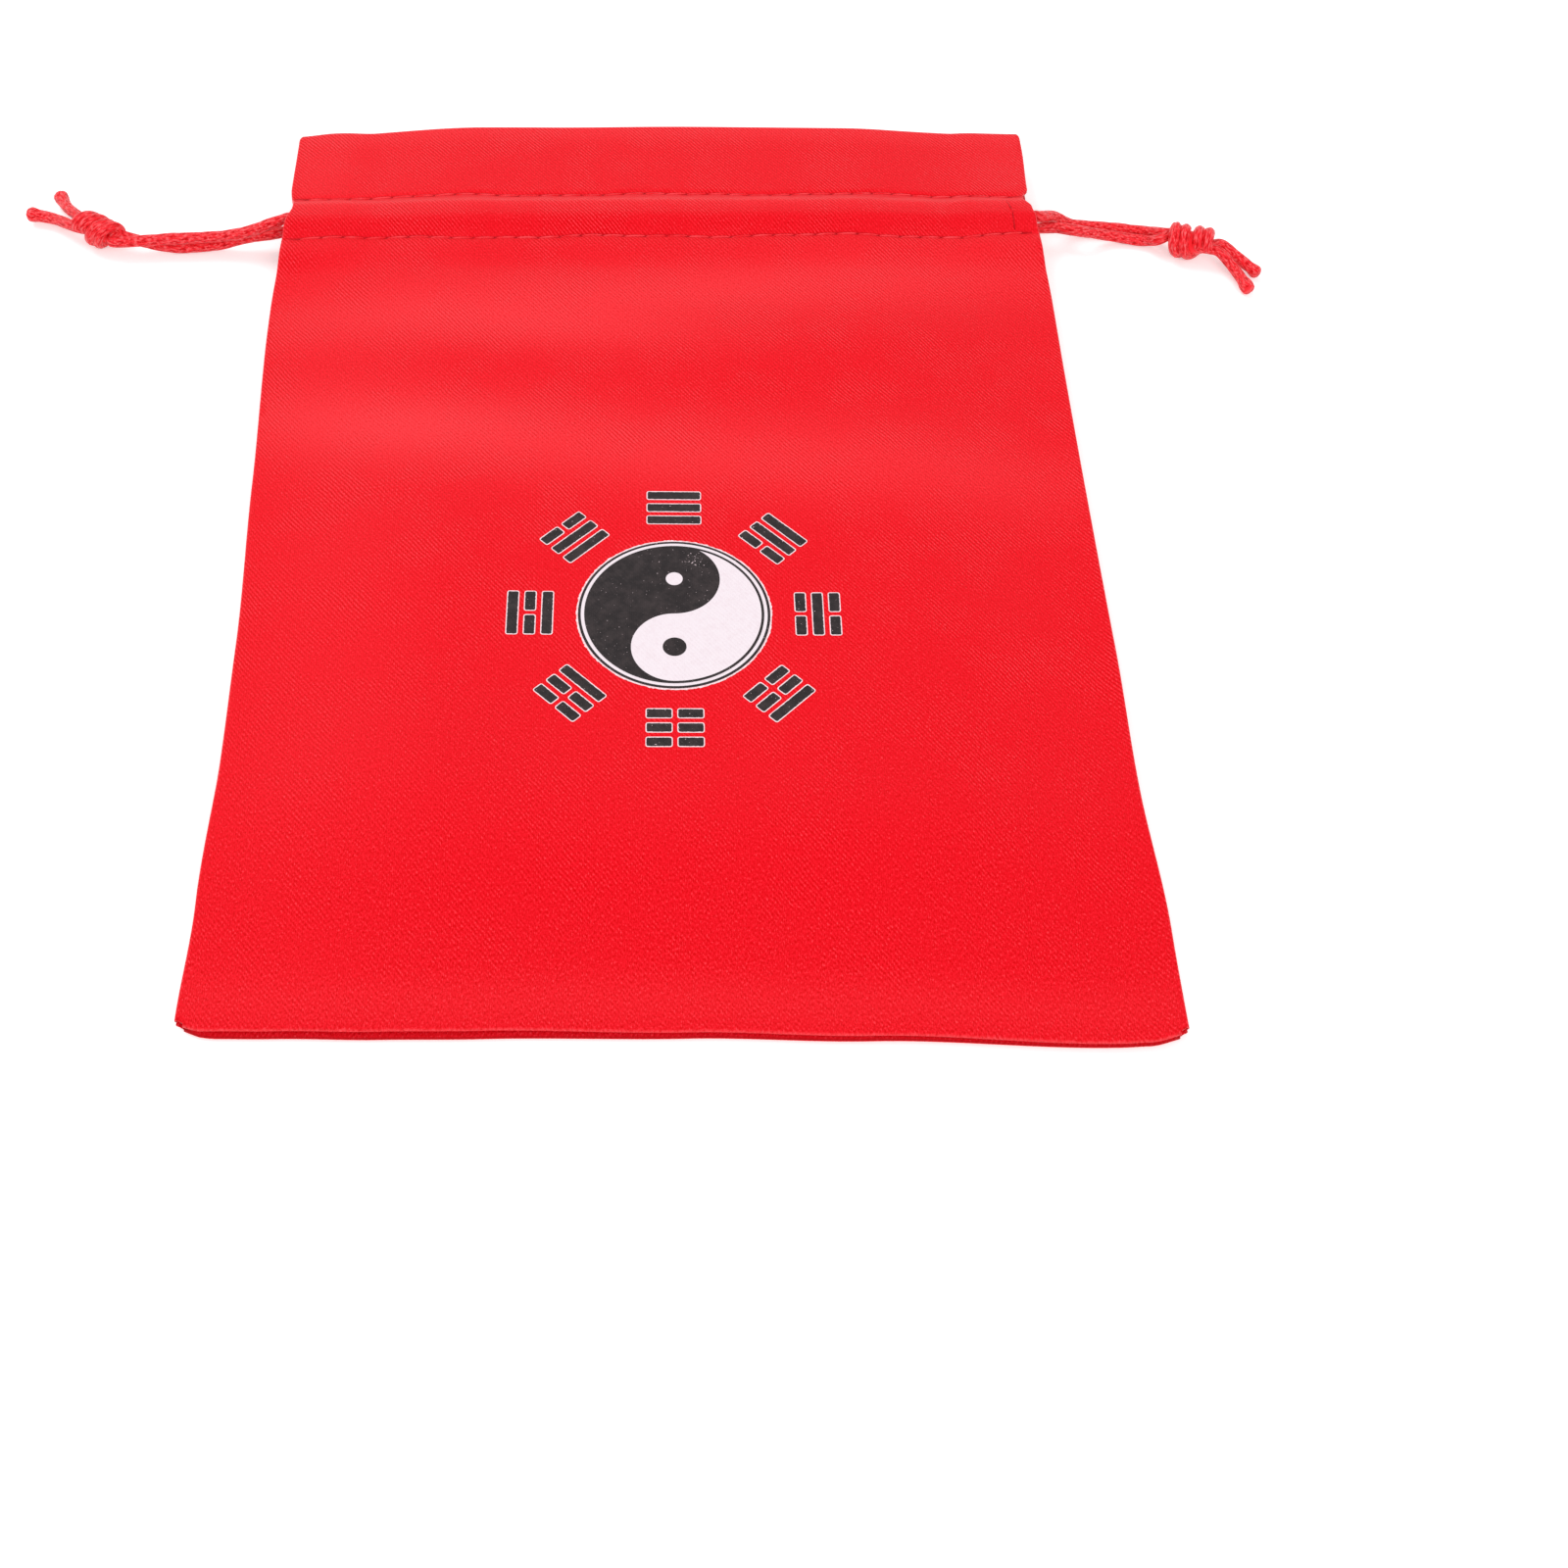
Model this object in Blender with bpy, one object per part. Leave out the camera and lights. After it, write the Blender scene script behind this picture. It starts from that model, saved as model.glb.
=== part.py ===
"""A flat satin drawstring pouch, lying on its back.

Two panels of cloth are sewn along the sides and the bottom and turned right side out. Each panel's top is
folded inside, and two rows of stitching make a casing for the drawcords, with a header above it. Two cords
run round the casing, one drawn from each side, each with its two ends tied in a knot. A round emblem with
eight trigrams is printed on the front.

Units are metres. +X is across the pouch, +Y runs from the bottom seam to the mouth, +Z is up. The origin
lies under the middle of the pouch, on the surface that it lies on.
"""

import math

import bmesh
import bpy
from mathutils import Matrix, Vector

# The pouch laid flat
POUCH_HEIGHT = 0.180
BASE_WIDTH = 0.1306
WAIST_WIDTH = 0.1290
SHOULDER_WIDTH = 0.1298
CASING_WIDTH = 0.1278
MOUTH_WIDTH = 0.1274
WAIST_HEIGHT = 0.070
SHOULDER_HEIGHT = 0.135
CORNER_RADIUS = 0.003

# Cloth and seams
CLOTH = 0.00025
PLY_GAP = 0.0003
SEAM_ALLOWANCE = 0.008
CORNER_CLEARANCE = 0.0012
FACING_INSET = 0.0013

# The top, measured from the mouth's edge down
HEADER_HEIGHT = 0.0194
CASING_HEIGHT = 0.0103
HEM_BELOW_STITCH = 0.0018
HEM_TURN = 0.0038
FACING_TAPER = 0.006
STITCH_LIP = 0.0014

# How far the empty pouch stands open, from its middle layer to a panel
BODY_LOFT = 0.0028
MOUTH_LOFT = 0.00205
LOFT_RISE = 0.036
PLATEAU = 0.5

# Where the sheet has rows and columns: shares of the rise from the bottom, and of a turned-in allowance
RISE_SHARES = (0.0, 0.14, 0.3, 0.5, 0.7, 1.0)
TURNED_SHARES = (0.3, 0.65, 1.0)
SHOULDER_STEPS = 7

# Drawcords
CORD_RADIUS = 0.00095
CORD_CLEARANCE = 0.0002
STRAND_SPACING = 0.0029
CORD_POINT_SPACING = 0.0047
TURN_STEPS = 6
EXIT_LEAD = 0.0038
KNOT_GAP = 0.0005
FLOOR_CLEARANCE = 0.00012
RIDGE_CLEARANCE = 0.00004

# Knots: length along the cord and greatest radius
LEFT_KNOT = (0.0076, 0.0028)
RIGHT_KNOT = (0.0092, 0.0031)
KNOT_BANDS = 3
KNOT_SIDES = 14
KNOT_CORE_SHARE = 0.72
KNOT_END_SHARE = 0.86
TAIL_LEAD = 0.0012
TAIL_SWELL = (1.18, 1.2)

# The print
PRINT_CENTRE = (-0.00045, -0.0235)
PRINT_TURN = math.radians(-0.95)
FILM = 0.00012
FILM_GAP = 0.0003
INK_GAP = 0.00008
OUTER_RING = (0.01365, 0.01405)
WHITE_RING_OUTSIDE = 0.01357
FIELD_RADIUS = 0.01315
LOBE_RADIUS = 0.01275
DARK_HEAD_RADIUS = 0.00675
LIGHT_HEAD_RADIUS = 0.0063
LIGHT_EYE_RADIUS = 0.00125
DARK_EYE_RADIUS = 0.00172
TRIGRAM_RADIUS = 0.02104
BAR_LENGTH = 0.0081
BAR_WIDTH = 0.00165
BAR_PITCH = 0.00252
BAR_BREAK = 0.0009
BAR_CORNER = 0.00035

# Eight trigrams clockwise from the top; each row from the disc outwards, True where the bar is whole
TRIGRAMS = {
    "top": (True, True, True),
    "upper_right": (False, True, True),
    "right": (False, True, False),
    "lower_right": (False, False, True),
    "bottom": (False, False, False),
    "lower_left": (True, False, False),
    "left": (True, False, True),
    "upper_left": (True, True, False),
}

# Colours in linear light
RED_CLOTH = (0.86, 0.012, 0.021)
RED_CORD = (0.80, 0.013, 0.022)
INK_BLACK = (0.030, 0.026, 0.027)
INK_WHITE = (0.84, 0.76, 0.80)

# Levels of the layers in a seam, from the pouch's middle layer to the middle of a ply
PLY_PITCH = CLOTH + PLY_GAP
INNER_PLY = PLY_PITCH / 2
FOLD_RADIUS = PLY_PITCH / 2
OUTER_PLY = INNER_PLY + PLY_PITCH
SEAM_HALF = OUTER_PLY + CLOTH / 2
CHANNEL_LIFT = CLOTH + 2 * (CORD_RADIUS + CORD_CLEARANCE)
BODY_HALF = SEAM_HALF + BODY_LOFT
CASING_HALF = INNER_PLY + MOUTH_LOFT + CHANNEL_LIFT + CLOTH / 2 + RIDGE_CLEARANCE

# Heights above the bottom edge
UPPER_STITCH = POUCH_HEIGHT - HEADER_HEIGHT
LOWER_STITCH = UPPER_STITCH - CASING_HEIGHT
CHANNEL = (UPPER_STITCH + LOWER_STITCH) / 2
HEM_EDGE = LOWER_STITCH - HEM_BELOW_STITCH
FACED_FROM = HEM_EDGE - FACING_TAPER

# Centres of the emblem's two heads, which touch each other and the lobes' edge
LIGHT_HEAD_Y = LIGHT_HEAD_RADIUS - LOBE_RADIUS
DARK_HEAD_Y = LIGHT_HEAD_Y + LIGHT_HEAD_RADIUS + DARK_HEAD_RADIUS


def smooth(low, high, value):
    """0 below low, 1 above high, with a soft turn at both ends."""
    t = min(max((value - low) / (high - low), 0.0), 1.0)
    return t * t * (3 - 2 * t)


def along(stations, value):
    """The value of a soft line through (place, value) stations."""
    for (a, first), (b, second) in zip(stations, stations[1:]):
        if value <= b:
            return first + (second - first) * smooth(a, b, value)
    return stations[-1][1]


def half_width(height):
    """Half of the pouch's width at a height, with the turned corners rounded."""
    width = along(
        [
            (0.0, BASE_WIDTH),
            (WAIST_HEIGHT, WAIST_WIDTH),
            (SHOULDER_HEIGHT, SHOULDER_WIDTH),
            (CHANNEL, CASING_WIDTH),
            (POUCH_HEIGHT, MOUTH_WIDTH),
        ],
        height,
    )
    from_end = min(height, POUCH_HEIGHT - height)
    rounded = max(CORNER_RADIUS - from_end, 0.0)
    return width / 2 - CORNER_RADIUS + math.sqrt(CORNER_RADIUS**2 - rounded**2)


def dome(across):
    """How far the pouch is open at a share of the half width: 1 over the middle, 0 at the side seams."""
    return 1 - smooth(PLATEAU, 1.0, abs(across))


def loft(height):
    body = BODY_LOFT * smooth(CORNER_RADIUS, CORNER_RADIUS + LOFT_RISE, height)
    return body + (MOUTH_LOFT - BODY_LOFT) * smooth(SHOULDER_HEIGHT, LOWER_STITCH, height)


def middle_level(height):
    """Height of the pouch's middle layer above the surface that the pouch lies on."""
    body = SEAM_HALF + loft(min(height, SHOULDER_HEIGHT))
    return body + (CASING_HALF - BODY_HALF) * smooth(SHOULDER_HEIGHT, LOWER_STITCH, height)


def outer_lift(height):
    """From the inner ply's level to the outer ply's, down the panel."""
    return along(
        [
            (FACED_FROM, PLY_PITCH),
            (HEM_EDGE, 2 * PLY_PITCH),
            (LOWER_STITCH, 2 * PLY_PITCH),
            (CHANNEL - STRAND_SPACING / 2 - CORD_RADIUS / 2, CHANNEL_LIFT),
            (CHANNEL + STRAND_SPACING / 2 + CORD_RADIUS / 2, CHANNEL_LIFT),
            (UPPER_STITCH, PLY_PITCH),
            (POUCH_HEIGHT, PLY_PITCH),
        ],
        height,
    )


def side_lift(across, height):
    """The outer ply rises at the sides, to leave room over the facing for the allowance turned in there."""
    strip_edge = 1 - 2 * SEAM_ALLOWANCE / CASING_WIDTH
    near_side = smooth(2 * strip_edge - 1, strip_edge, abs(across))
    return PLY_PITCH * near_side * smooth(FACED_FROM, HEM_EDGE, height)


def place(side, x, across, height, lift):
    """A point of the front (side 1) or back (side -1) panel, lift above its inner ply's level."""
    level = INNER_PLY + loft(height) * dome(across) + lift
    return (x, height - POUCH_HEIGHT / 2, middle_level(height) + side * level)


def half_turn(steps=4):
    """(outwards, upwards) shares along a fold, from the outer ply to the inner one, ends left out."""
    angles = [math.pi * step / steps for step in range(1, steps)]
    return [(math.sin(angle), math.cos(angle)) for angle in angles]


SHOULDER_COLUMNS = [PLATEAU + (1 - PLATEAU) * step / SHOULDER_STEPS for step in range(SHOULDER_STEPS + 1)]
COLUMNS = [-share for share in reversed(SHOULDER_COLUMNS)] + [0.0] + SHOULDER_COLUMNS


def panel_rows():
    """The rows of a panel from the bottom allowance's raw edge, round the body and the top, to the hem.

    Each row is (height, height that sets its width and loft, lift, inset, whether the sides fold in there).
    """
    bottom = FOLD_RADIUS + CLOTH / 2
    top = POUCH_HEIGHT - bottom
    rows = []
    for height in (SEAM_ALLOWANCE, SEAM_ALLOWANCE / 2, 2 * bottom):
        rows.append((height, height, 0.0, CORNER_CLEARANCE + height, False))
    for outwards, upwards in reversed(half_turn()):
        lift = FOLD_RADIUS * (1 + upwards)
        rows.append((bottom - FOLD_RADIUS * outwards, 2 * bottom, lift, CORNER_CLEARANCE, False))
    rows.append((bottom, 2 * bottom, PLY_PITCH, CORNER_CLEARANCE, False))
    rise = tuple(CORNER_RADIUS + share * LOFT_RISE for share in RISE_SHARES)
    chest, throat = (WAIST_HEIGHT + SHOULDER_HEIGHT) / 2, (SHOULDER_HEIGHT + FACED_FROM) / 2
    body = rise + (WAIST_HEIGHT, chest, SHOULDER_HEIGHT, throat, FACED_FROM)
    casing = (
        (HEM_EDGE + FACED_FROM) / 2,
        HEM_EDGE,
        LOWER_STITCH,
        LOWER_STITCH + STITCH_LIP,
        CHANNEL - STRAND_SPACING / 2,
        CHANNEL,
        CHANNEL + STRAND_SPACING / 2,
        UPPER_STITCH - STITCH_LIP,
        UPPER_STITCH,
    )
    header = (UPPER_STITCH + 2 * STITCH_LIP, (UPPER_STITCH + POUCH_HEIGHT) / 2, POUCH_HEIGHT - CORNER_RADIUS)
    for height in body + casing + header:
        rows.append((height, height, outer_lift(height), FOLD_RADIUS + CLOTH / 2, True))
    rows.append((top, top, PLY_PITCH, CORNER_CLEARANCE, False))
    for outwards, upwards in half_turn():
        rows.append((top + FOLD_RADIUS * outwards, top, FOLD_RADIUS * (1 + upwards), CORNER_CLEARANCE, False))
    facing = (top, header[1], header[0], UPPER_STITCH, CHANNEL, LOWER_STITCH, HEM_EDGE + FOLD_RADIUS)
    for height in facing:
        rows.append((height, height, 0.0, FACING_INSET, False))
    for outwards, upwards in reversed(half_turn()):
        lift = FOLD_RADIUS * (1 + upwards)
        rows.append((HEM_EDGE + FOLD_RADIUS * (1 - outwards), HEM_EDGE, lift, FACING_INSET, False))
    for height in (HEM_EDGE + FOLD_RADIUS, LOWER_STITCH, HEM_EDGE + HEM_TURN):
        rows.append((height, height, PLY_PITCH, FACING_INSET, False))
    return rows


def panel_sheet(side):
    """The middle surface of one panel's cloth, a grid with the side allowances turned in along its edges."""
    mesh = bmesh.new()
    rows = panel_rows()
    grid = []
    for height, shape_height, lift, inset, folds in rows:
        half = half_width(shape_height) - inset
        line = []
        for column in COLUMNS:
            across = column * half / half_width(shape_height)
            extra = side_lift(across, shape_height) if folds else 0.0
            x, y, z = place(side, column * half, across, shape_height, lift + extra)
            line.append(mesh.verts.new((x, height - POUCH_HEIGHT / 2, z)))
        grid.append(line)
    folded = [row for row in rows if row[4]]
    first, last = folded[0][0], folded[-1][0]
    strips = {-1: [], 1: []}
    clip_low, clip_high = first + 3 * SEAM_ALLOWANCE, UPPER_STITCH
    for height, shape_height, lift, inset, _ in folded:
        for edge in strips:
            half = half_width(shape_height) - inset
            top_lift = lift + side_lift(1.0, shape_height)
            line = []
            for outwards, upwards in half_turn():
                x = edge * (half + FOLD_RADIUS * outwards)
                level = top_lift - FOLD_RADIUS * (1 - upwards)
                line.append(mesh.verts.new(place(side, x, 1.0, shape_height, level)))
            for part in TURNED_SHARES:
                depth = part * (SEAM_ALLOWANCE - CLOTH)
                clipped = height + depth * max((clip_low - height) / (clip_low - first), 0.0)
                clipped -= depth * max((height - clip_high) / (last - clip_high), 0.0)
                across = 1 - depth / half
                level = outer_lift(clipped) + side_lift(across, clipped) - PLY_PITCH
                line.append(mesh.verts.new(place(side, edge * (half - depth), across, clipped, level)))
            strips[edge].append(line)
    for above, below in zip(grid[1:], grid):
        for column in range(len(COLUMNS) - 1):
            mesh.faces.new((below[column], below[column + 1], above[column + 1], above[column]))
    start = next(number for number, row in enumerate(rows) if row[4])
    for edge, lines in strips.items():
        end = 0 if edge < 0 else -1
        full = [[grid[start + number][end]] + line for number, line in enumerate(lines)]
        for above, below in zip(full[1:], full):
            for column in range(len(above) - 1):
                corners = (below[column], below[column + 1], above[column + 1], above[column])
                mesh.faces.new(corners if edge > 0 else corners[::-1])
    bmesh.ops.recalc_face_normals(mesh, faces=mesh.faces)
    return mesh


def material(name, colour, roughness, sheen=0.0):
    made = bpy.data.materials.new(name)
    made.use_nodes = True
    shader = made.node_tree.nodes["Principled BSDF"]
    shader.inputs["Base Color"].default_value = (*colour, 1.0)
    shader.inputs["Roughness"].default_value = roughness
    shader.inputs["Metallic"].default_value = 0.0
    shader.inputs["Sheen Weight"].default_value = sheen
    made.diffuse_color = (*colour, 1.0)
    return made


def finished(name, mesh, look):
    """An object made from a bmesh."""
    data = bpy.data.meshes.new(name)
    mesh.to_mesh(data)
    mesh.free()
    made = bpy.data.objects.new(name, data)
    data.materials.append(look)
    bpy.context.scene.collection.objects.link(made)
    return made


def make_panel(name, side, look):
    panel = finished(name, panel_sheet(side), look)
    panel.data.shade_smooth()
    wall = panel.modifiers.new("cloth", "SOLIDIFY")
    wall.thickness = CLOTH
    wall.offset = 0.0
    return panel


def smooth_route(points, spacing):
    """Points at a spacing along a smooth curve through the route's own points."""
    ends = [points[0] * 2 - points[1]] + points + [points[-1] * 2 - points[-2]]
    fine = [points[0]]
    steps = 24
    for before, start, end, after in zip(ends, ends[1:], ends[2:], ends[3:]):
        for step in range(1, steps + 1):
            t = step / steps
            bend = (before * 2 - start * 5 + end * 4 - after) * t**2
            turn = (start * 3 - before - end * 3 + after) * t**3
            fine.append((start * 2 + (end - before) * t + bend + turn) / 2)
    total = sum((b - a).length for a, b in zip(fine, fine[1:]))
    count = max(round(total / spacing), 2)
    wanted = [total * number / count for number in range(1, count)]
    route, travelled = [fine[0]], 0.0
    for a, b in zip(fine, fine[1:]):
        step = (b - a).length
        while wanted and travelled + step >= wanted[0]:
            route.append(a.lerp(b, (wanted.pop(0) - travelled) / step))
        travelled += step
    return route + [fine[-1]]


def make_tube(name, route, radius, look, swell=None):
    """A cord as a bevelled curve with filled ends; swell widens its last points."""
    curve = bpy.data.curves.new(name, "CURVE")
    curve.dimensions = "3D"
    curve.bevel_depth = radius
    curve.bevel_resolution = 2
    curve.use_fill_caps = True
    spline = curve.splines.new("POLY")
    spline.points.add(len(route) - 1)
    for point, place_at in zip(spline.points, route):
        point.co = (*place_at, 1.0)
    for back, share in enumerate(swell or ()):
        spline.points[-1 - back].radius = share
    tube = bpy.data.objects.new(name, curve)
    curve.materials.append(look)
    bpy.context.scene.collection.objects.link(tube)
    return tube


def channel_point(side, across, strand):
    """Where a strand lies in the casing; strand is -1 for the one near the bottom and 1 near the mouth."""
    height = CHANNEL + strand * STRAND_SPACING / 2
    lift = CHANNEL_LIFT / 2
    return Vector(place(side, across * half_width(CHANNEL), across, height, lift))


def casing_run(hand):
    """A cord's way through the casing: in at its own side, across the front, round the far side and back."""
    shares = (1.0, 0.9, 0.75, PLATEAU, 0.2, -0.2, -PLATEAU, -0.75, -0.9, -1.0)
    front = [channel_point(1, hand * share, -hand) for share in shares]
    back = [channel_point(-1, hand * share, hand) for share in reversed(shares)]
    far = (front[-1] + back[0]) / 2
    reach = front[-1] - far
    outwards = Vector((-hand * reach.length, 0, 0))
    angles = [math.pi * step / TURN_STEPS for step in range(1, TURN_STEPS)]
    turn = [far + reach * math.cos(angle) + outwards * math.sin(angle) for angle in angles]
    return front, turn, back


# Free ends: each strand's places from the casing to the knot, the side on which the front strand enters the
# knot, the knot's line, and each tail's places, the tail nearer the bottom first.
FREE = {
    "left": {
        "hand": -1,
        "front": [(-0.0715, 0.0656, 0.0049), (-0.0765, 0.0646, 0.0035), (-0.0845, 0.0643, 0.0032)],
        "back": [(-0.0715, 0.0652, 0.0026), (-0.0765, 0.0652, 0.0013), (-0.0845, 0.0648, 0.00115)],
        "front_ties": "lower",
        "knot": ((-0.0929, 0.0648), (-0.0995, 0.0685)),
        "size": LEFT_KNOT,
        "tails": (
            [(-0.1047, 0.0713, 0.0016), (-0.1094, 0.0728, 0.0014)],
            [(-0.1026, 0.0738, 0.0019), (-0.1046, 0.0777, 0.0014)],
        ),
    },
    "right": {
        "hand": 1,
        "front": [(0.0715, 0.0665, 0.0040), (0.0779, 0.0680, 0.0017), (0.0840, 0.0673, 0.0012)],
        "back": [(0.0715, 0.0703, 0.0023), (0.0782, 0.0708, 0.00115), (0.0843, 0.0699, 0.00115)],
        "front_ties": "lower",
        "knot": ((0.0873, 0.0659), (0.0961, 0.0631)),
        "size": RIGHT_KNOT,
        "tails": (
            [(0.0989, 0.0592, 0.0018), (0.1008, 0.0543, 0.0013)],
            [(0.1004, 0.0616, 0.0018), (0.1033, 0.0582, 0.0013)],
        ),
    },
}


def knot_frame(side_name):
    """(start, end, axis, greatest radius) of a knot that lies on the surface."""
    facts = FREE[side_name]
    _, radius = facts["size"]
    level = radius + FLOOR_CLEARANCE
    (x1, y1), (x2, y2) = facts["knot"]
    axis = (Vector((x2, y2, 0)) - Vector((x1, y1, 0))).normalized()
    start = Vector((x1, y1, level))
    return start, start + axis * facts["size"][0], axis, radius


def make_knot(side_name, look):
    """An overhand knot's outer form: bands wrapped round its core, turned about the cord's line."""
    start, end, axis, radius = knot_frame(side_name)
    length = (end - start).length
    band = length / KNOT_BANDS
    core = KNOT_CORE_SHARE * radius
    crown = radius - core
    profile = []
    for number in range(KNOT_BANDS):
        shrink = 1.0 if number == KNOT_BANDS // 2 else KNOT_END_SHARE
        for share in (0.04, 0.25, 0.5, 0.75, 0.96):
            reach = core + crown * math.sin(math.pi * share) ** 0.7
            profile.append((band * (number + share), reach * shrink))
    mesh = bmesh.new()
    rings = []
    for distance, reach in profile:
        ring = []
        for step in range(KNOT_SIDES):
            angle = 2 * math.pi * step / KNOT_SIDES
            ring.append(mesh.verts.new((reach * math.cos(angle), reach * math.sin(angle), distance)))
        rings.append(ring)
    for near, far in zip(rings, rings[1:]):
        for step in range(KNOT_SIDES):
            after = (step + 1) % KNOT_SIDES
            mesh.faces.new((near[step], near[after], far[after], far[step]))
    mesh.faces.new(rings[0][::-1])
    mesh.faces.new(rings[-1])
    turn = Vector((0, 0, 1)).rotation_difference(axis).to_matrix().to_4x4()
    mesh.transform(Matrix.Translation(start) @ turn)
    knot = finished(f"{side_name}_knot", mesh, look)
    knot.data.shade_smooth()
    return knot


def make_cord(side_name, look):
    """One drawcord from its knot, round through the casing and back to its knot, and its two tails."""
    facts = FREE[side_name]
    start, end, axis, _ = knot_frame(side_name)
    upper = Vector((-axis.y, axis.x, 0)) * facts["hand"] * (CORD_RADIUS + PLY_GAP / 2)
    lower = -upper
    near = start - axis * KNOT_GAP
    front_run, turn, back_run = casing_run(facts["hand"])
    lead = Vector((facts["hand"] * EXIT_LEAD, 0, 0))
    front = [Vector(point) for point in facts["front"]]
    back = [Vector(point) for point in facts["back"]]
    first_side, last_side = (lower, upper) if facts["front_ties"] == "lower" else (upper, lower)
    over = [near + first_side] + front[::-1] + [front_run[0] + lead] + front_run
    under = back_run + [back_run[-1] + lead] + back + [near + last_side]
    route = smooth_route(over, CORD_POINT_SPACING) + turn + smooth_route(under, CORD_POINT_SPACING)
    make_tube(f"{side_name}_drawcord", route, CORD_RADIUS, look)
    for number, (points, offset) in enumerate(zip(facts["tails"], (lower, upper)), start=1):
        root = end + axis * KNOT_GAP + offset
        route = [root, root + axis * TAIL_LEAD] + [Vector(point) for point in points]
        places = smooth_route(route, CORD_POINT_SPACING / 2)
        make_tube(f"{side_name}_tail_{number}", places, CORD_RADIUS, look, swell=TAIL_SWELL)


def arc(centre, radius, start, end, steps):
    """Points of an arc in degrees, the last one left out."""
    angles = [math.radians(start + (end - start) * step / steps) for step in range(steps)]
    return [(centre[0] + radius * math.cos(a), centre[1] + radius * math.sin(a)) for a in angles]


def circle(radius, centre=(0.0, 0.0), steps=48):
    return arc(centre, radius, 0, 360, steps)


def light_lobe(inset):
    """The light lobe's outline: the disc's edge, the light head and the dark head's side."""
    edge = LOBE_RADIUS - inset
    dark_head = (0.0, DARK_HEAD_Y)
    light_head = (0.0, LIGHT_HEAD_Y)
    reach = DARK_HEAD_RADIUS + inset
    tip_y = (edge**2 - reach**2 + DARK_HEAD_Y**2) / (2 * DARK_HEAD_Y)
    tip_x = math.sqrt(edge**2 - tip_y**2)
    tip = math.degrees(math.atan2(tip_y, tip_x))
    inner_tip = math.degrees(math.atan2(tip_y - DARK_HEAD_Y, tip_x))
    return (
        arc((0.0, 0.0), edge, tip, -90, 30)
        + arc(light_head, LIGHT_HEAD_RADIUS - inset, -90, -270, 20)
        + arc(dark_head, reach, -90, inner_tip, 20)
    )


def bar(length, centre_x, centre_y):
    """A trigram bar's outline, a rectangle with rounded corners."""
    right, top = length / 2 - BAR_CORNER, BAR_WIDTH / 2 - BAR_CORNER
    outline = []
    for x, y, start in ((right, top, 0), (-right, top, 90), (-right, -top, 180), (right, -top, 270)):
        outline += arc((centre_x + x, centre_y + y), BAR_CORNER, start, start + 90.0, 2)
        outline.append(
            (
                centre_x + x + BAR_CORNER * math.cos(math.radians(start + 90)),
                centre_y + y + BAR_CORNER * math.sin(math.radians(start + 90)),
            )
        )
    return outline


def make_film(name, loops, look, turn=0.0):
    """A flat piece of the print, its outline and holes given about the print's centre, turned by an angle."""
    mesh = bmesh.new()
    for loop in loops:
        corners = [mesh.verts.new((x, y, 0.0)) for x, y in loop]
        for a, b in zip(corners, corners[1:] + corners[:1]):
            mesh.edges.new((a, b))
    bmesh.ops.triangle_fill(mesh, use_beauty=True, use_dissolve=False, edges=mesh.edges[:])
    raised = bmesh.ops.extrude_face_region(mesh, geom=mesh.faces[:])
    upper = [item for item in raised["geom"] if isinstance(item, bmesh.types.BMVert)]
    bmesh.ops.translate(mesh, verts=upper, vec=(0, 0, FILM))
    bmesh.ops.recalc_face_normals(mesh, faces=mesh.faces[:])
    level = 2 * BODY_HALF + FILM_GAP
    centre = Matrix.Translation((*PRINT_CENTRE, level))
    mesh.transform(centre @ Matrix.Rotation(PRINT_TURN + turn, 4, "Z"))
    return finished(name, mesh, look)


def make_disc(black, white):
    dark_head, light_head = (0.0, DARK_HEAD_Y), (0.0, LIGHT_HEAD_Y)
    make_film("disc_outer_ring", [circle(OUTER_RING[1]), circle(OUTER_RING[0])], black)
    make_film("disc_white_ring", [circle(WHITE_RING_OUTSIDE), circle(FIELD_RADIUS + INK_GAP)], white)
    eye_hole = circle(LIGHT_EYE_RADIUS + INK_GAP, dark_head, 20)
    make_film("disc_dark_field", [circle(FIELD_RADIUS), light_lobe(0.0), eye_hole], black)
    dark_eye_hole = circle(DARK_EYE_RADIUS + INK_GAP, light_head, 20)
    make_film("disc_light_lobe", [light_lobe(INK_GAP), dark_eye_hole], white)
    make_film("disc_light_eye", [circle(LIGHT_EYE_RADIUS, dark_head, 20)], white)
    make_film("disc_dark_eye", [circle(DARK_EYE_RADIUS, light_head, 20)], black)


def make_trigrams(black):
    half = (BAR_LENGTH - BAR_BREAK) / 2
    for number, (where, rows) in enumerate(TRIGRAMS.items()):
        turn = math.radians(-45 * number)
        for row, whole in enumerate(rows):
            y = TRIGRAM_RADIUS + (row - 1) * BAR_PITCH
            name = f"trigram_{where}_bar_{row + 1}"
            if whole:
                make_film(name, [bar(BAR_LENGTH, 0.0, y)], black, turn)
                continue
            for letter, hand in (("a", -1), ("b", 1)):
                make_film(name + letter, [bar(half, hand * (half + BAR_BREAK) / 2, y)], black, turn)


def main():
    for old in list(bpy.data.objects):
        bpy.data.objects.remove(old, do_unlink=True)
    cloth = material("red_satin", RED_CLOTH, 0.45, sheen=0.3)
    cord = material("red_cord", RED_CORD, 0.35)
    black = material("ink_black", INK_BLACK, 0.5)
    white = material("ink_white", INK_WHITE, 0.5)
    make_panel("front_panel", 1, cloth)
    make_panel("back_panel", -1, cloth)
    for side_name in FREE:
        make_cord(side_name, cord)
        make_knot(side_name, cord)
    make_disc(black, white)
    make_trigrams(black)


main()
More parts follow.
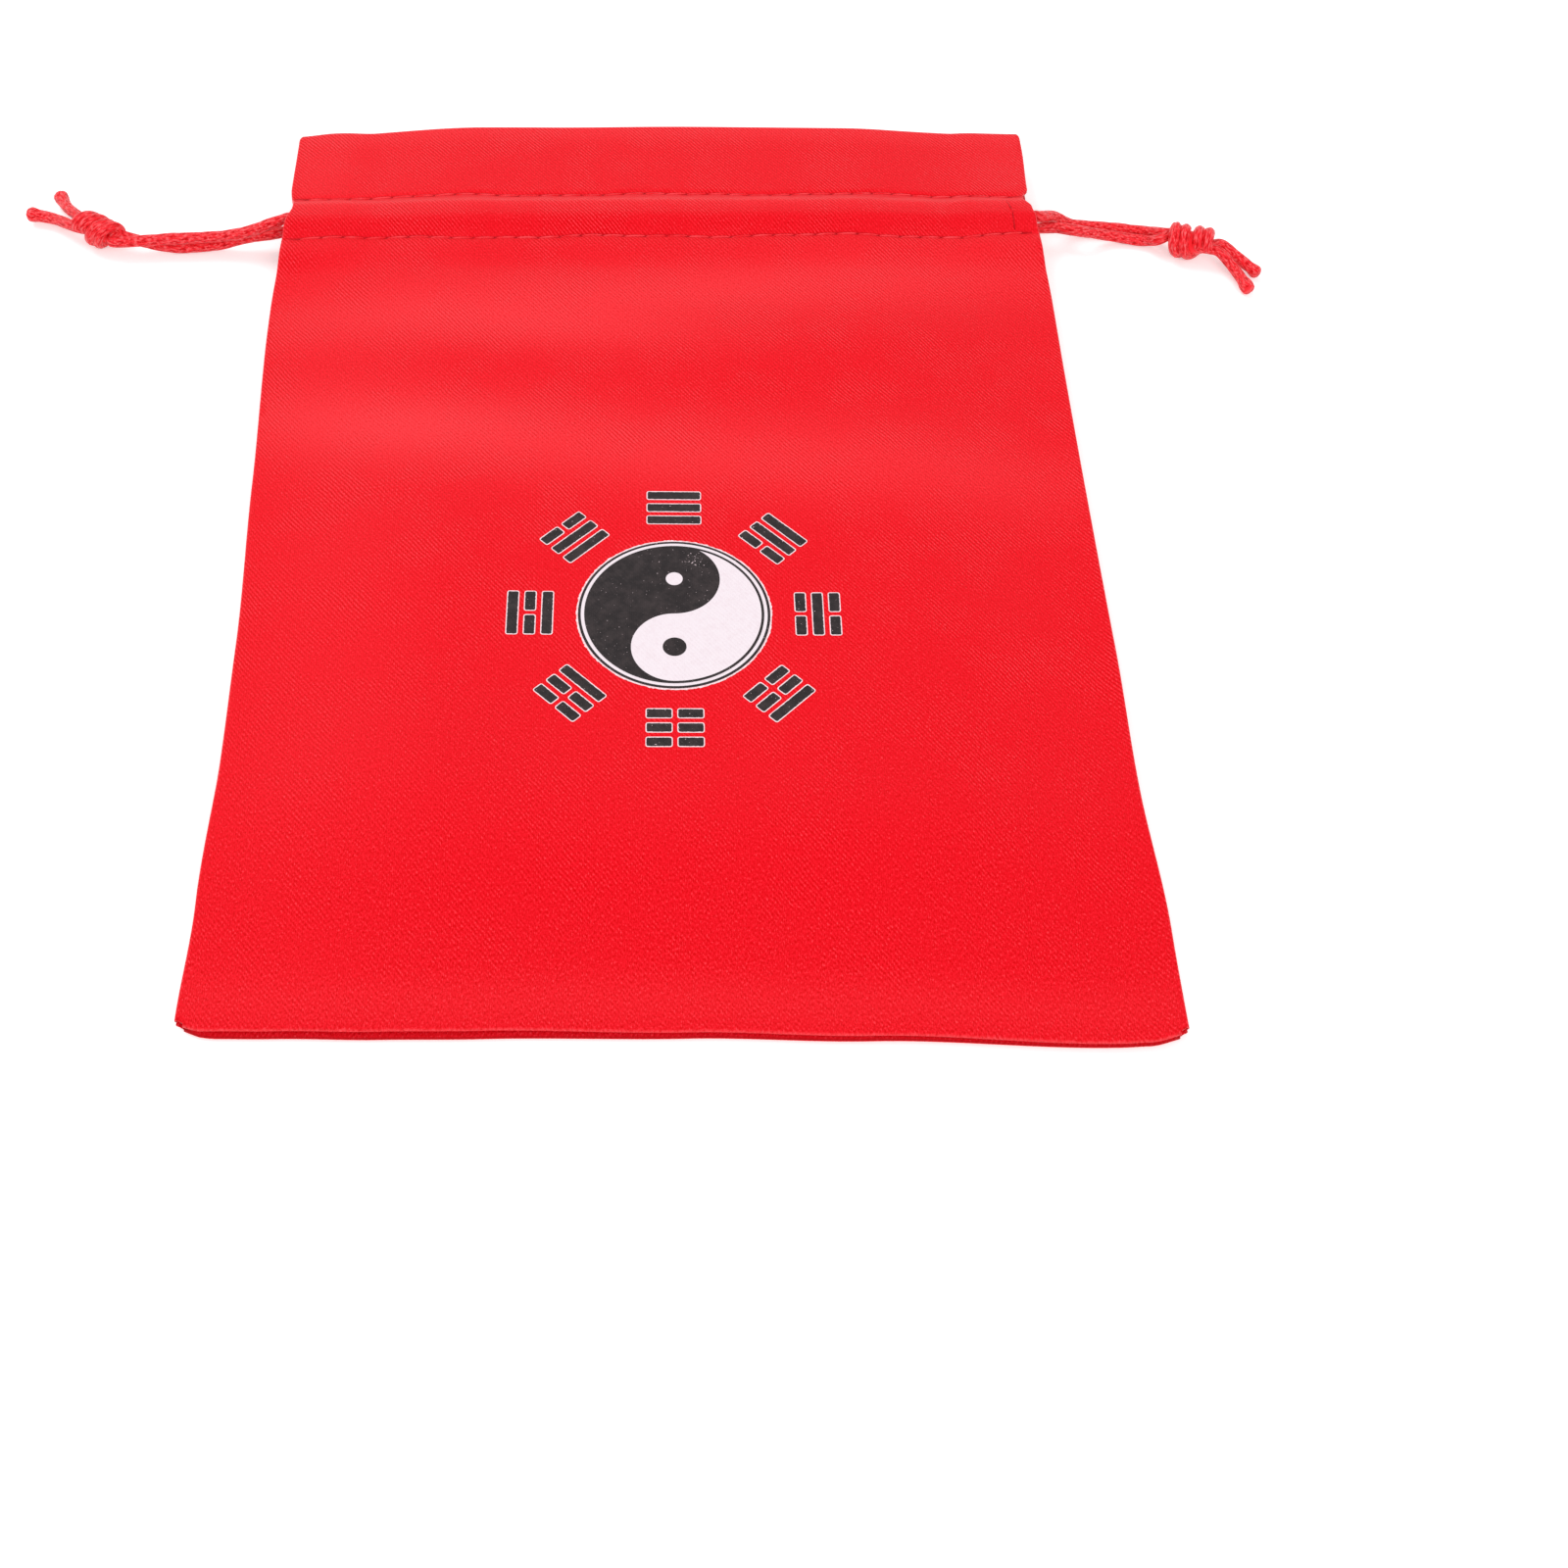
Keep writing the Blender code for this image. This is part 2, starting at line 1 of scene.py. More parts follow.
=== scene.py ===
# %% [markdown]
# # A satin drawstring pouch
# The pouch is two panels of red satin, sewn along the sides and the bottom and turned right side out. At
# the mouth each panel is folded inside, and two rows of stitches make a casing. Two knotted cords run
# round that casing, one drawn from each side. A round emblem with eight trigrams is printed on the front.
#
# The solids give the pouch's true sizes and layers. This lesson gives it its looks: real strands tied in
# real knots, cloth with its stitching and soft waves, and print that follows the cloth.

# %% Tools and the frame
import math

import bpy
import numpy as np
from mathutils import Matrix, Vector, noise


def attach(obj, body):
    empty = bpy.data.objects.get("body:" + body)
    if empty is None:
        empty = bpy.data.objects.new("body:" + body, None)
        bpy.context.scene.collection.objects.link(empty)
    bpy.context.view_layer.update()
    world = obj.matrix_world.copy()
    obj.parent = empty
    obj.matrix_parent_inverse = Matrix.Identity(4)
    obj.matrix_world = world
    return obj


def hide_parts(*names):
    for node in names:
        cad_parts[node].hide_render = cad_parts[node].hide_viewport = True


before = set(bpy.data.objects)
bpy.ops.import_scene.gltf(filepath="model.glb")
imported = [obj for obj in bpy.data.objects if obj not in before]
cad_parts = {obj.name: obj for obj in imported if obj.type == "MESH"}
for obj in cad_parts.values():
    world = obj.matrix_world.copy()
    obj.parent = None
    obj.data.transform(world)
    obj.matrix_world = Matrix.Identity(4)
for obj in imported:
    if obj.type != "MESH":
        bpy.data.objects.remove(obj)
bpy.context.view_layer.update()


# %% [markdown]
# ## Camera
# The photographer stood at the pouch's bottom edge and looked down on it. The place and the turn below
# were found by laying the pouch's real outline, its stitch rows and the emblem over the picture. No shift
# of the lens is used: the pouch simply lies up and left of the middle of the frame.

# %% Camera
CAMERA_PLACE = (-0.0059, -0.2249, 0.2433)
CAMERA_AZIMUTH = math.radians(-6.67)
CAMERA_ELEVATION = math.radians(53.97)
CAMERA_ROLL = math.radians(4.60)
LENS_MM = 48.45
SENSOR_MM = 36.0


def camera_turn(azimuth, elevation, roll):
    """The turn of a camera that looks along +Y at azimuth 0, and down by the elevation."""
    level = math.cos(elevation)
    back = Vector((math.sin(azimuth) * level, -math.cos(azimuth) * level, math.sin(elevation)))
    right = Vector((math.cos(azimuth), math.sin(azimuth), 0.0))
    up = back.cross(right)
    turned_right = math.cos(roll) * right + math.sin(roll) * up
    turned_up = math.cos(roll) * up - math.sin(roll) * right
    return Matrix((turned_right, turned_up, back)).transposed()


bpy.ops.object.camera_add()
camera = bpy.context.object
camera.name = "camera"
camera.data.lens = LENS_MM
camera.data.sensor_width = SENSOR_MM
camera.data.clip_start = 0.01
camera.data.clip_end = 20.0
turn = camera_turn(CAMERA_AZIMUTH, CAMERA_ELEVATION, CAMERA_ROLL)
camera.matrix_world = Matrix.LocRotScale(Vector(CAMERA_PLACE), turn, None)
bpy.context.scene.camera = camera
print("camera", round(LENS_MM, 1), "mm, looking down by", round(math.degrees(CAMERA_ELEVATION)), "degrees")

# %% [markdown]
# ## The pouch's sizes
# Every piece below sits on the same few sizes as the solids: the outline of the flat pouch, the plies of
# cloth in a seam, how far the empty pouch stands open, and the room that the casing gives its cords.

# %% Sizes, in metres
POUCH_HEIGHT = 0.180
CASING_WIDTH = 0.1278
WIDTHS = ((0.0, 0.1306), (0.070, 0.1290), (0.135, 0.1298), (0.15545, CASING_WIDTH), (0.180, 0.1274))
SHOULDER_HEIGHT = 0.135
CORNER_RADIUS = 0.0007
MOUTH_CORNER_RADIUS = 0.0016
CLOTH = 0.00025
PLY_GAP = 0.0003
SEAM_ALLOWANCE = 0.008
CORNER_CLEARANCE = 0.0012
FACING_INSET = 0.0013
UPPER_STITCH = POUCH_HEIGHT - 0.0194
LOWER_STITCH = UPPER_STITCH - 0.0103
HEM_EDGE = LOWER_STITCH - 0.0018
HEM_TURN = 0.0038
FACED_FROM = HEM_EDGE - 0.006
BODY_LOFT = 0.0028
MOUTH_LOFT = 0.00205
LOFT_RISE = 0.036
PLATEAU = 0.5
CORD_RADIUS = 0.00095
CORD_CLEARANCE = 0.0002
STRAND_SPACING = 0.0029
RIDGE_FLAT = 0.0012
RIDGE_CLEARANCE = 0.00004
FLOOR_CLEARANCE = 0.00012

# Layers, from the pouch's middle layer outwards
PLY_PITCH = CLOTH + PLY_GAP
INNER_PLY = PLY_PITCH / 2
FOLD_RADIUS = PLY_PITCH / 2
SEAM_HALF = INNER_PLY + PLY_PITCH + CLOTH / 2
CHANNEL_LIFT = CLOTH + 2 * (CORD_RADIUS + CORD_CLEARANCE)
BODY_HALF = SEAM_HALF + BODY_LOFT
CASING_HALF = INNER_PLY + MOUTH_LOFT + CHANNEL_LIFT + CLOTH / 2 + RIDGE_CLEARANCE
CHANNEL = (UPPER_STITCH + LOWER_STITCH) / 2

# %% [markdown]
# ## The shape of the flat pouch as functions
# Cloth is a sheet, so its shape is best said as a height over each place. These small functions give the
# half width, the loft and the level of the middle layer at any height above the bottom edge. They take
# whole arrays of places at once, because the sheets have many points.


# %% Shape functions
def smooth(low, high, value):
    """0 below low, 1 above high, with a soft turn at both ends."""
    t = np.clip((np.asarray(value, float) - low) / (high - low), 0.0, 1.0)
    return t * t * (3 - 2 * t)


def along(stations, value):
    """The value of a soft line through (place, value) stations."""
    value = np.asarray(value, float)
    result = np.full(value.shape, float(stations[0][1]))
    for (a, first), (b, second) in zip(stations, stations[1:]):
        result = np.where(value > a, first + (second - first) * smooth(a, b, value), result)
    return result


def half_width(height):
    """Half the pouch's width, with its two ends' corners rounded."""
    height = np.asarray(height, float)
    at_mouth = height > POUCH_HEIGHT / 2
    radius = np.where(at_mouth, MOUTH_CORNER_RADIUS, CORNER_RADIUS)
    from_end = np.where(at_mouth, POUCH_HEIGHT - height, height)
    rounded = np.clip(radius - from_end, 0.0, radius)
    return along(WIDTHS, height) / 2 - radius + np.sqrt(radius**2 - rounded**2)


def dome(across):
    """How far the pouch is open at a share of the half width."""
    return 1 - smooth(PLATEAU, 1.0, np.abs(across))


def loft(height):
    """How far each panel stands off the seam's plies where the pouch is open."""
    body = BODY_LOFT * smooth(CORNER_RADIUS, CORNER_RADIUS + LOFT_RISE, height)
    return body + (MOUTH_LOFT - BODY_LOFT) * smooth(SHOULDER_HEIGHT, LOWER_STITCH, height)


def middle_level(height):
    """The level of the layer between the two panels."""
    body = SEAM_HALF + loft(np.minimum(height, SHOULDER_HEIGHT))
    return body + (CASING_HALF - BODY_HALF) * smooth(SHOULDER_HEIGHT, LOWER_STITCH, height)


def outer_lift(height):
    """From the inner ply's level to the outer ply's."""
    stations = (
        (FACED_FROM, PLY_PITCH),
        (HEM_EDGE, 2 * PLY_PITCH),
        (LOWER_STITCH, 2 * PLY_PITCH),
        (CHANNEL - RIDGE_FLAT, CHANNEL_LIFT),
        (CHANNEL + RIDGE_FLAT, CHANNEL_LIFT),
        (UPPER_STITCH, PLY_PITCH),
        (POUCH_HEIGHT, PLY_PITCH),
    )
    return along(stations, height)


def side_lift(across, height):
    """The outer ply rises at the sides, over the allowance that is turned in there."""
    strip_edge = 1 - 2 * SEAM_ALLOWANCE / CASING_WIDTH
    near_side = smooth(2 * strip_edge - 1, strip_edge, np.abs(across))
    return PLY_PITCH * near_side * smooth(FACED_FROM, HEM_EDGE, height)


print("width at the casing in mm:", round(2000 * float(half_width(CHANNEL)), 1))


# %% [markdown]
# ## What sewing and handling add
# No sewn pouch is a true rectangle. The seams wander by one to three millimetres, the sides wave a little,
# and the front has broad soft swells from being folded and packed. The back's bottom fold shows half a
# millimetre below the front's. The stations below were read off the picture. A swell is a smooth bump: its
# middle, its two half lengths, its turn and its height. The painted sheen bands are bumps of another kind:
# they tell where a painted highlight lightens the satin's colour in broad bands, and only the material reads
# them.

# %% Sewing and handling
SEWN_SHIFT = {
    "bottom": ((-0.0653, 0.0027), (-0.0618, 0.0018), (-0.053, 0.0016), (-0.040, 0.0012), (-0.027, 0.0010),
               (0.0, 0.0001), (0.024, -0.0010), (0.0565, -0.0030), (0.0600, -0.0029), (0.0660, -0.0016)),
    "lower": ((-0.064, -0.0002), (-0.029, -0.0014), (0.005, -0.0009), (0.038, -0.0004), (0.065, 0.0018)),
    "upper": ((-0.064, 0.0003), (-0.030, -0.0001), (0.012, 0.0004), (0.035, 0.0007), (0.064, 0.0021)),
    "top": ((-0.064, -0.0018), (-0.0575, -0.0010), (-0.052, -0.0013), (-0.021, -0.0010), (0.005, -0.0005),
            (0.040, -0.0006), (0.063, 0.0004)),
}
SIDE_WAVE = {
    -1: ((0.0, 0.0009), (0.018, 0.0), (0.040, -0.0008), (0.062, -0.0006), (0.095, 0.0), (0.130, 0.0005),
         (0.1515, 0.0004), (0.1590, -0.0002), (0.1640, 0.0002), (0.180, 0.0001)),
    1: ((0.0, 0.0008), (0.015, 0.0007), (0.036, -0.0003), (0.062, 0.0003), (0.120, 0.0), (0.150, 0.0002),
        (0.1530, 0.0), (0.1555, -0.0005), (0.1575, -0.0015), (0.1592, -0.0019), (0.1607, -0.0012),
        (0.1625, -0.0002), (0.175, 0.0003), (0.180, 0.0003)),
}
SIDE_FROM_MIDDLE = 0.064
CORD_PULL = (-0.0008, 0.1565, 0.0024)
BACK_PEEK = ((-0.0645, 0.0), (-0.0600, 0.0005), (-0.030, 0.0006), (0.0, 0.0003), (0.024, 0.0002),
             (0.056, 0.0))
BACK_PEEK_REACH = 0.020
SWELLS = (
    ((-0.030, 0.138), (0.030, 0.007), -8, 0.00060),
    ((0.022, 0.124), (0.034, 0.009), 6, 0.00070),
    ((-0.036, 0.112), (0.022, 0.008), 14, -0.00060),
    ((0.036, 0.098), (0.020, 0.010), -20, 0.00050),
    ((-0.040, 0.078), (0.016, 0.014), 30, 0.00050),
    ((0.044, 0.060), (0.014, 0.018), 0, 0.00050),
    ((-0.044, 0.040), (0.020, 0.010), 8, 0.00055),
    ((0.004, 0.026), (0.044, 0.007), 2, 0.00055),
    ((0.030, 0.012), (0.030, 0.004), -2, 0.00030),
    ((-0.034, 0.010), (0.024, 0.004), 3, 0.00030),
)
# Bands of painted highlight in the satin's colour, each told like a swell: middle, half lengths, turn and
# strength.
PAINTED_SHEEN_BANDS = (
    ((0.0, 0.1790), (0.120, 0.0030), 0, 0.60),
    ((-0.061, 0.1690), (0.011, 0.010), 0, 0.30),
    ((0.061, 0.1690), (0.009, 0.010), 0, 0.30),
    ((0.0, 0.1580), (0.120, 0.0021), 0, 0.85),
    ((0.004, 0.1375), (0.085, 0.0070), 5, 0.90),
    ((-0.018, 0.1285), (0.024, 0.0050), -4, 0.70),
    ((-0.044, 0.1080), (0.028, 0.0075), -6, 0.85),
    ((0.010, 0.0990), (0.060, 0.0085), -5, 0.75),
    ((0.0, 0.0045), (0.120, 0.0040), 0, 0.25),
)
SWELL_EDGE = 0.72
SWELL_FROM = 0.014
SWELL_FADE = 0.012


def sewn_shift(x, height):
    """How far the crooked seams move the cloth along the pouch."""
    lines = [along(SEWN_SHIFT[name], x) for name in ("bottom", "lower", "upper", "top")]
    heights = (0.0, LOWER_STITCH, UPPER_STITCH, POUCH_HEIGHT)
    result = lines[0]
    for low, high, start, end in zip(heights, heights[1:], lines, lines[1:]):
        share = np.clip((height - low) / (high - low), 0.0, 1.0)
        result = np.where(height > low, start + (end - start) * share, result)
    return result


def back_peek(x, height):
    """How far the back's bottom fold shows below the front's."""
    return along(BACK_PEEK, x) * (1 - smooth(0.0, BACK_PEEK_REACH, height))


def side_wave(side, x, height):
    """How far the sides wave in and out; the cord pulls in the front's left edge at the casing."""
    share = np.clip(np.abs(x) / SIDE_FROM_MIDDLE, 0.0, 1.0) ** 3
    left, right = along(SIDE_WAVE[-1], height), along(SIDE_WAVE[1], height)
    pull, place, reach = CORD_PULL
    if side > 0:
        left = left + pull * np.exp(-(((height - place) / reach) ** 2))
    return np.where(x < 0, -left, right) * share


def bumps(shapes, x, height):
    """The sum of smooth bumps, each told by its middle, its half lengths, its turn and its height."""
    result = np.zeros(np.broadcast(x, height).shape)
    for (centre_x, centre_h), (half_x, half_h), turned, rise in shapes:
        angle = math.radians(turned)
        dx, dh = x - centre_x, height - centre_h
        ahead = (dx * math.cos(angle) + dh * math.sin(angle)) / half_x
        aside = (dh * math.cos(angle) - dx * math.sin(angle)) / half_h
        result = result + rise * np.exp(-(ahead**2 + aside**2))
    return result


print("swells:", len(SWELLS), "painted_sheen_bands:", len(PAINTED_SHEEN_BANDS))


# %% [markdown]
# ## Stitches pull the cloth
# Each row of stitches presses a narrow groove into the satin, and each stitch gathers the cloth beside it
# into a tiny pucker. The groove is a bell curve across the row, and a cosine along the row marks each
# stitch. A sewn row is never quite straight, so two slow waves of different lengths move it a little.

# %% Stitch rows
STITCH_PITCH = 0.0036
GROOVE_DEPTH = 0.00024
GROOVE_HALF = 0.00055
NEEDLE_BITE = 0.35
PUCKER = 0.00010
PUCKER_REACH = 0.0030
RIPPLE_LENGTH = 2.6 * STITCH_PITCH
RIPPLE_SWAY = 3
RIPPLE_SWAY_LENGTH = 0.011
ROW_WANDER = ((0.00022, 0.0061, 1.0), (0.00013, 0.0023, 2.1))
UPRIGHT_ROW_X = 0.0600
UPRIGHT_LEAN = 0.06
UPRIGHT_ROW = (0.1512, 0.1598)
UPRIGHT_FADE = 0.001
UPRIGHT_DEPTH = 0.7 * GROOVE_DEPTH
UPRIGHT_HALF = 0.8 * GROOVE_HALF


def row_wander(x, phase):
    """How far a row strays from its straight line."""
    return sum(reach * np.sin(x / length + times * phase) for reach, length, times in ROW_WANDER)


def upright_x(height):
    """Where the short upright row runs at the casing's right end."""
    return UPRIGHT_ROW_X + UPRIGHT_LEAN * (height - CHANNEL)


STITCH_ROWS = (("upper", UPPER_STITCH, 0.7), ("lower", LOWER_STITCH, 2.4))


def stitch_relief(side, x, height):
    """The grooves and puckers of the two rows, as a height over the plain cloth."""
    result = np.zeros(np.broadcast(x, height).shape)
    for _, row_height, phase in STITCH_ROWS:
        off = height - row_height - row_wander(x, phase + side)
        along_row = np.cos(2 * np.pi * x / STITCH_PITCH)
        result = result - GROOVE_DEPTH * (1 + NEEDLE_BITE * along_row) * np.exp(-((off / GROOVE_HALF) ** 2))
        crease = np.exp(-np.abs(off) / PUCKER_REACH) * (1 - np.exp(-((off / GROOVE_HALF) ** 2)))
        sway = RIPPLE_SWAY * np.sin(x / RIPPLE_SWAY_LENGTH + phase)
        ripple = np.sin(2 * np.pi * x / RIPPLE_LENGTH + sway)
        result = result + PUCKER * crease * ripple
    if side > 0:
        inside = smooth(UPRIGHT_ROW[0] - UPRIGHT_FADE, UPRIGHT_ROW[0], height)
        inside = inside * (1 - smooth(UPRIGHT_ROW[1], UPRIGHT_ROW[1] + UPRIGHT_FADE, height))
        off = (x - upright_x(height)) / UPRIGHT_HALF
        result = result - UPRIGHT_DEPTH * inside * np.exp(-(off**2))
    return result


# %% [markdown]
# ## One point of a panel
# A panel's point is told by its place across, its height along the pouch, the height that sets the pouch's
# shape there (they differ in the folds) and its lift above the inner ply. The front's swells fade out
# towards the seams, where two panels are sewn together and lie flat. The back has none, as it lies on the
# floor.


# %% Panel points
def panel_point(side, x, height, shape_height, lift, relief=0.0):
    """Points of the front (side 1) or back (side -1) panel as an array of x, y and z."""
    across = x / half_width(shape_height)
    level = INNER_PLY + loft(shape_height) * dome(across) + lift + relief
    if side > 0:
        free = (1 - smooth(SWELL_EDGE, 1.0, np.abs(across))) * smooth(0.0, SWELL_FROM, height)
        free = free * (1 - smooth(LOWER_STITCH - SWELL_FADE, LOWER_STITCH, height))
        level = level + bumps(SWELLS, x, height) * free
    y = height - POUCH_HEIGHT / 2 + sewn_shift(x, height)
    if side < 0:
        y = y - back_peek(x, height)
    z = middle_level(shape_height) + side * level
    moved = x + side_wave(side, x, height)
    return np.stack(np.broadcast_arrays(moved, y, z), axis=-1)


def outer_point(side, x, height, above=0.0):
    """A point on the panel's outer face, or above it."""
    x, height = np.asarray(x, float), np.asarray(height, float)
    lift = outer_lift(height) + side_lift(x / half_width(height), height)
    relief = stitch_relief(side, x, height) + CLOTH / 2 + above
    return panel_point(side, x, height, height, lift, relief)


# %% [markdown]
# ## Making meshes from rows of points
# Cloth and cords are both grids: rows of points joined by four-sided faces. One helper makes a mesh from
# such a grid and gives it a UV map in metres, so a weave can be laid along the thread. A cord's grid
# closes round.


# %% Mesh helpers
def deselect_all():
    bpy.ops.object.select_all(action="DESELECT")


def only(piece):
    """Selects one object and makes it the active one."""
    deselect_all()
    piece.select_set(True)
    bpy.context.view_layer.objects.active = piece


def mark_points(piece, name, values):
    """Writes one number for each point of a mesh, for its material to read."""
    attribute = piece.data.attributes.new(name, "FLOAT", "POINT")
    attribute.data.foreach_set("value", np.ascontiguousarray(values, np.float32).ravel())


def grid_piece(name, points, uv, closed=False, caps=False, flip=False):
    """A smooth-shaded object from a grid of points; uv has one column more than a closed grid."""
    rows, columns = points.shape[:2]
    number = np.arange(rows * columns).reshape(rows, columns)
    if closed:
        number = np.hstack([number, number[:, :1]])
    corners = (number[:-1, :-1], number[:-1, 1:], number[1:, 1:], number[1:, :-1])
    faces = np.stack(corners, axis=-1).reshape(-1, 4)
    place = np.stack([uv[:-1, :-1], uv[:-1, 1:], uv[1:, 1:], uv[1:, :-1]], axis=2).reshape(-1, 4, 2)
    if flip:
        faces, place = faces[:, ::-1], place[:, ::-1]
    faces = faces.tolist()
    place = place.reshape(-1, 2).tolist()
    if caps:
        ends = (list(range(columns))[::-1], list(range((rows - 1) * columns, rows * columns)))
        for end, end_uv in zip(ends, (uv[0, 0], uv[-1, 0])):
            faces.append(end[::-1] if flip else end)
            place += [list(end_uv)] * columns
    mesh = bpy.data.meshes.new(name)
    mesh.from_pydata(points.reshape(-1, 3).tolist(), [], faces)
    layer = mesh.uv_layers.new(name="metres")
    layer.data.foreach_set("uv", np.asarray(place, np.float32).ravel())
    mesh.shade_smooth()
    piece = bpy.data.objects.new(name, mesh)
    bpy.context.scene.collection.objects.link(piece)
    return piece


def joined(pieces, name, merge=None):
    """Several objects joined into one; points closer than merge become one."""
    deselect_all()
    for piece in pieces:
        piece.select_set(True)
    bpy.context.view_layer.objects.active = pieces[0]
    if len(pieces) > 1:
        bpy.ops.object.join()
    piece = bpy.context.object
    piece.name = name
    piece.data.name = name
    if merge is not None:
        bpy.ops.object.mode_set(mode="EDIT")
        bpy.ops.mesh.select_all(action="SELECT")
        bpy.ops.mesh.remove_doubles(threshold=merge)
        bpy.ops.object.mode_set(mode="OBJECT")
    return piece


# %% [markdown]
# ## The drawcords' routes
# Each drawcord goes round the casing and comes out at one side as two strands, which are tied together in
# an overhand knot. From the casing to the knot they run about 29 mm at the left and 24 mm at the right. On
# the left the two strands lie one on the other, and on the right they lie side by side with a small gap at
# the casing. These places were chosen one by one. They follow the solids, moved by a millimetre or two to
# where the picture shows the cords.

# %% Routes of the free strands
FREE = {
    "left": {
        "hand": -1,
        "front": ((-0.0672, 0.0650, 0.0058), (-0.0715, 0.0643, 0.0046), (-0.0765, 0.0646, 0.0035),
                  (-0.0845, 0.0643, 0.0032)),
        "back": ((-0.0672, 0.0657, 0.0032), (-0.0715, 0.0655, 0.0026), (-0.0765, 0.0652, 0.0013),
                 (-0.0845, 0.0648, 0.00115)),
        "knot": ((-0.0929, 0.0648), (-0.0995, 0.0685)),
        "knot_length": 0.0076,
        "knot_radius": 0.0028,
        "strand_step": 0.00145,
        "wrap_step": 0.0038,
        "tails": (
            ((-0.1047, 0.0713, 0.0017), (-0.1094, 0.0728, 0.0016)),
            ((-0.1026, 0.0738, 0.0020), (-0.1046, 0.0777, 0.0016)),
        ),
    },
    "right": {
        "hand": 1,
        "front": ((0.0680, 0.0676, 0.0037), (0.0715, 0.0665, 0.0040), (0.0779, 0.0680, 0.0017),
                  (0.0840, 0.0673, 0.0012)),
        "back": ((0.0680, 0.0696, 0.0045), (0.0715, 0.0703, 0.0023), (0.0782, 0.0708, 0.00115),
                 (0.0843, 0.0699, 0.00115)),
        "knot": ((0.0873, 0.0659), (0.0961, 0.0631)),
        "knot_length": 0.0092,
        "knot_radius": 0.0031,
        "strand_step": 0.00170,
        "wrap_step": 0.0041,
        "tails": (
            ((0.0989, 0.0592, 0.0018), (0.1008, 0.0543, 0.0013)),
            ((0.1004, 0.0616, 0.0018), (0.1033, 0.0582, 0.0013)),
        ),
    },
}
EXITS = {"left": ((1, 0.0658), (-1, 0.0658)), "right": ((-1, 0.0674), (1, 0.0671))}
HELD_INSIDE = 0.90
FAR_BEND = 0.88
CASING_SHARES = (HELD_INSIDE, 0.75, PLATEAU, 0.2, -0.2, -PLATEAU, -0.75, -FAR_BEND)
RING_SPACING = 0.00016
CURVE_STEPS = 24


def smooth_route(points, spacing):
    """Points at an even spacing along a smooth curve through a route's own points."""
    points = np.asarray(points, float)
    ends = np.vstack([2 * points[0] - points[1], points, 2 * points[-1] - points[-2]])
    share = np.linspace(0.0, 1.0, CURVE_STEPS, endpoint=False)[:, None]
    fine = []
    for before, start, end, after in zip(ends, ends[1:], ends[2:], ends[3:]):
        bend = (2 * before - 5 * start + 4 * end - after) * share**2
        curl = (3 * start - before - 3 * end + after) * share**3
        fine.append((2 * start + (end - before) * share + bend + curl) / 2)
    fine = np.vstack(fine + [points[-1:]])
    walked = np.concatenate([[0.0], np.cumsum(np.linalg.norm(np.diff(fine, axis=0), axis=1))])
    places = np.linspace(0.0, walked[-1], max(round(walked[-1] / spacing), 2) + 1)
    return np.stack([np.interp(places, walked, fine[:, axis]) for axis in range(3)], axis=1)


def route_length(route):
    return float(np.linalg.norm(np.diff(route, axis=0), axis=1).sum())


def channel_point(side, across, strand):
    """Where a strand lies in the casing; strand is -1 nearer the bottom and 1 nearer the mouth."""
    height = CHANNEL + strand * STRAND_SPACING / 2
    x = across * half_width(CHANNEL)
    return panel_point(side, x, height, height, CHANNEL_LIFT / 2)


# %% [markdown]
# ## The knots
# A drawcord's knot is an overhand knot tied with both strands at once. Seen from outside, the two strands
# wrap round together in slanted bands and then leave through the middle. So each strand's way through the
# knot is a short coil about the knot's line: in near the line, out to the wrap, round, and back in to
# become a tail.

# %% Strands through a knot
WRAP_BEFORE = 0.20
WRAP_STEPS = 18
BAND_SLANT = 0.32
DRAWN_IN = 0.45
STRAND_GAP_IN_KNOT = 0.00106
KNOT_LEAD = 0.0004
KNOT_ENTRY_REACH = 0.0010
TAIL_LEAD = 0.0007
EXIT_LEAD = 0.0011
EXIT_DROP = 0.0001


def knot_frame(hand_name):
    """(middle, line, level side, up) of a knot that rests on the surface."""
    facts = FREE[hand_name]
    start, end = (Vector((*place, facts["knot_radius"] + FLOOR_CLEARANCE)) for place in facts["knot"])
    line = (end - start).normalized()
    aside = Vector((0, 0, 1)).cross(line)
    middle = start + line * facts["knot_length"] / 2
    return middle, line, aside, Vector((0, 0, 1))


def in_knot(hand_name, ahead, reach, angle):
    """A point told by its place along the knot's line, its distance from it and its angle round it."""
    middle, line, aside, up = knot_frame(hand_name)
    slanted = ahead + BAND_SLANT * reach * math.cos(angle)
    return middle + line * slanted + aside * reach * math.cos(angle) + up * reach * math.sin(angle)


def knot_pass(hand_name, order):
    """A strand's way through the knot: twice over the top, close beside the other strand."""
    facts = FREE[hand_name]
    wrap = facts["knot_radius"] - CORD_RADIUS
    first_pass = facts["strand_step"] * (order - 0.5) - facts["wrap_step"] / 2
    near_side = order if facts["hand"] < 0 else 1 - order
    entry = -facts["knot_length"] / 2 - KNOT_LEAD
    places = [in_knot(hand_name, entry, KNOT_ENTRY_REACH, math.pi * near_side)]
    for step in range(WRAP_STEPS + 1):
        turns = -WRAP_BEFORE + (1 + 2 * WRAP_BEFORE) * step / WRAP_STEPS
        angle = math.pi / 2 + facts["hand"] * 2 * math.pi * turns
        near_end = max(-turns, turns - 1, 0.0) / WRAP_BEFORE
        reach = wrap * (1 - DRAWN_IN * near_end**2)
        places.append(in_knot(hand_name, first_pass + facts["wrap_step"] * turns, reach, angle))
    return places


def tail_root(hand_name, order):
    """Where a strand leaves the knot and becomes a tail."""
    middle, line, aside, _ = knot_frame(hand_name)
    facts = FREE[hand_name]
    hand_side = -1 if order == 0 else 1
    side = aside * facts["hand"] * hand_side
    return middle + line * (facts["knot_length"] / 2 + TAIL_LEAD) + side * STRAND_GAP_IN_KNOT


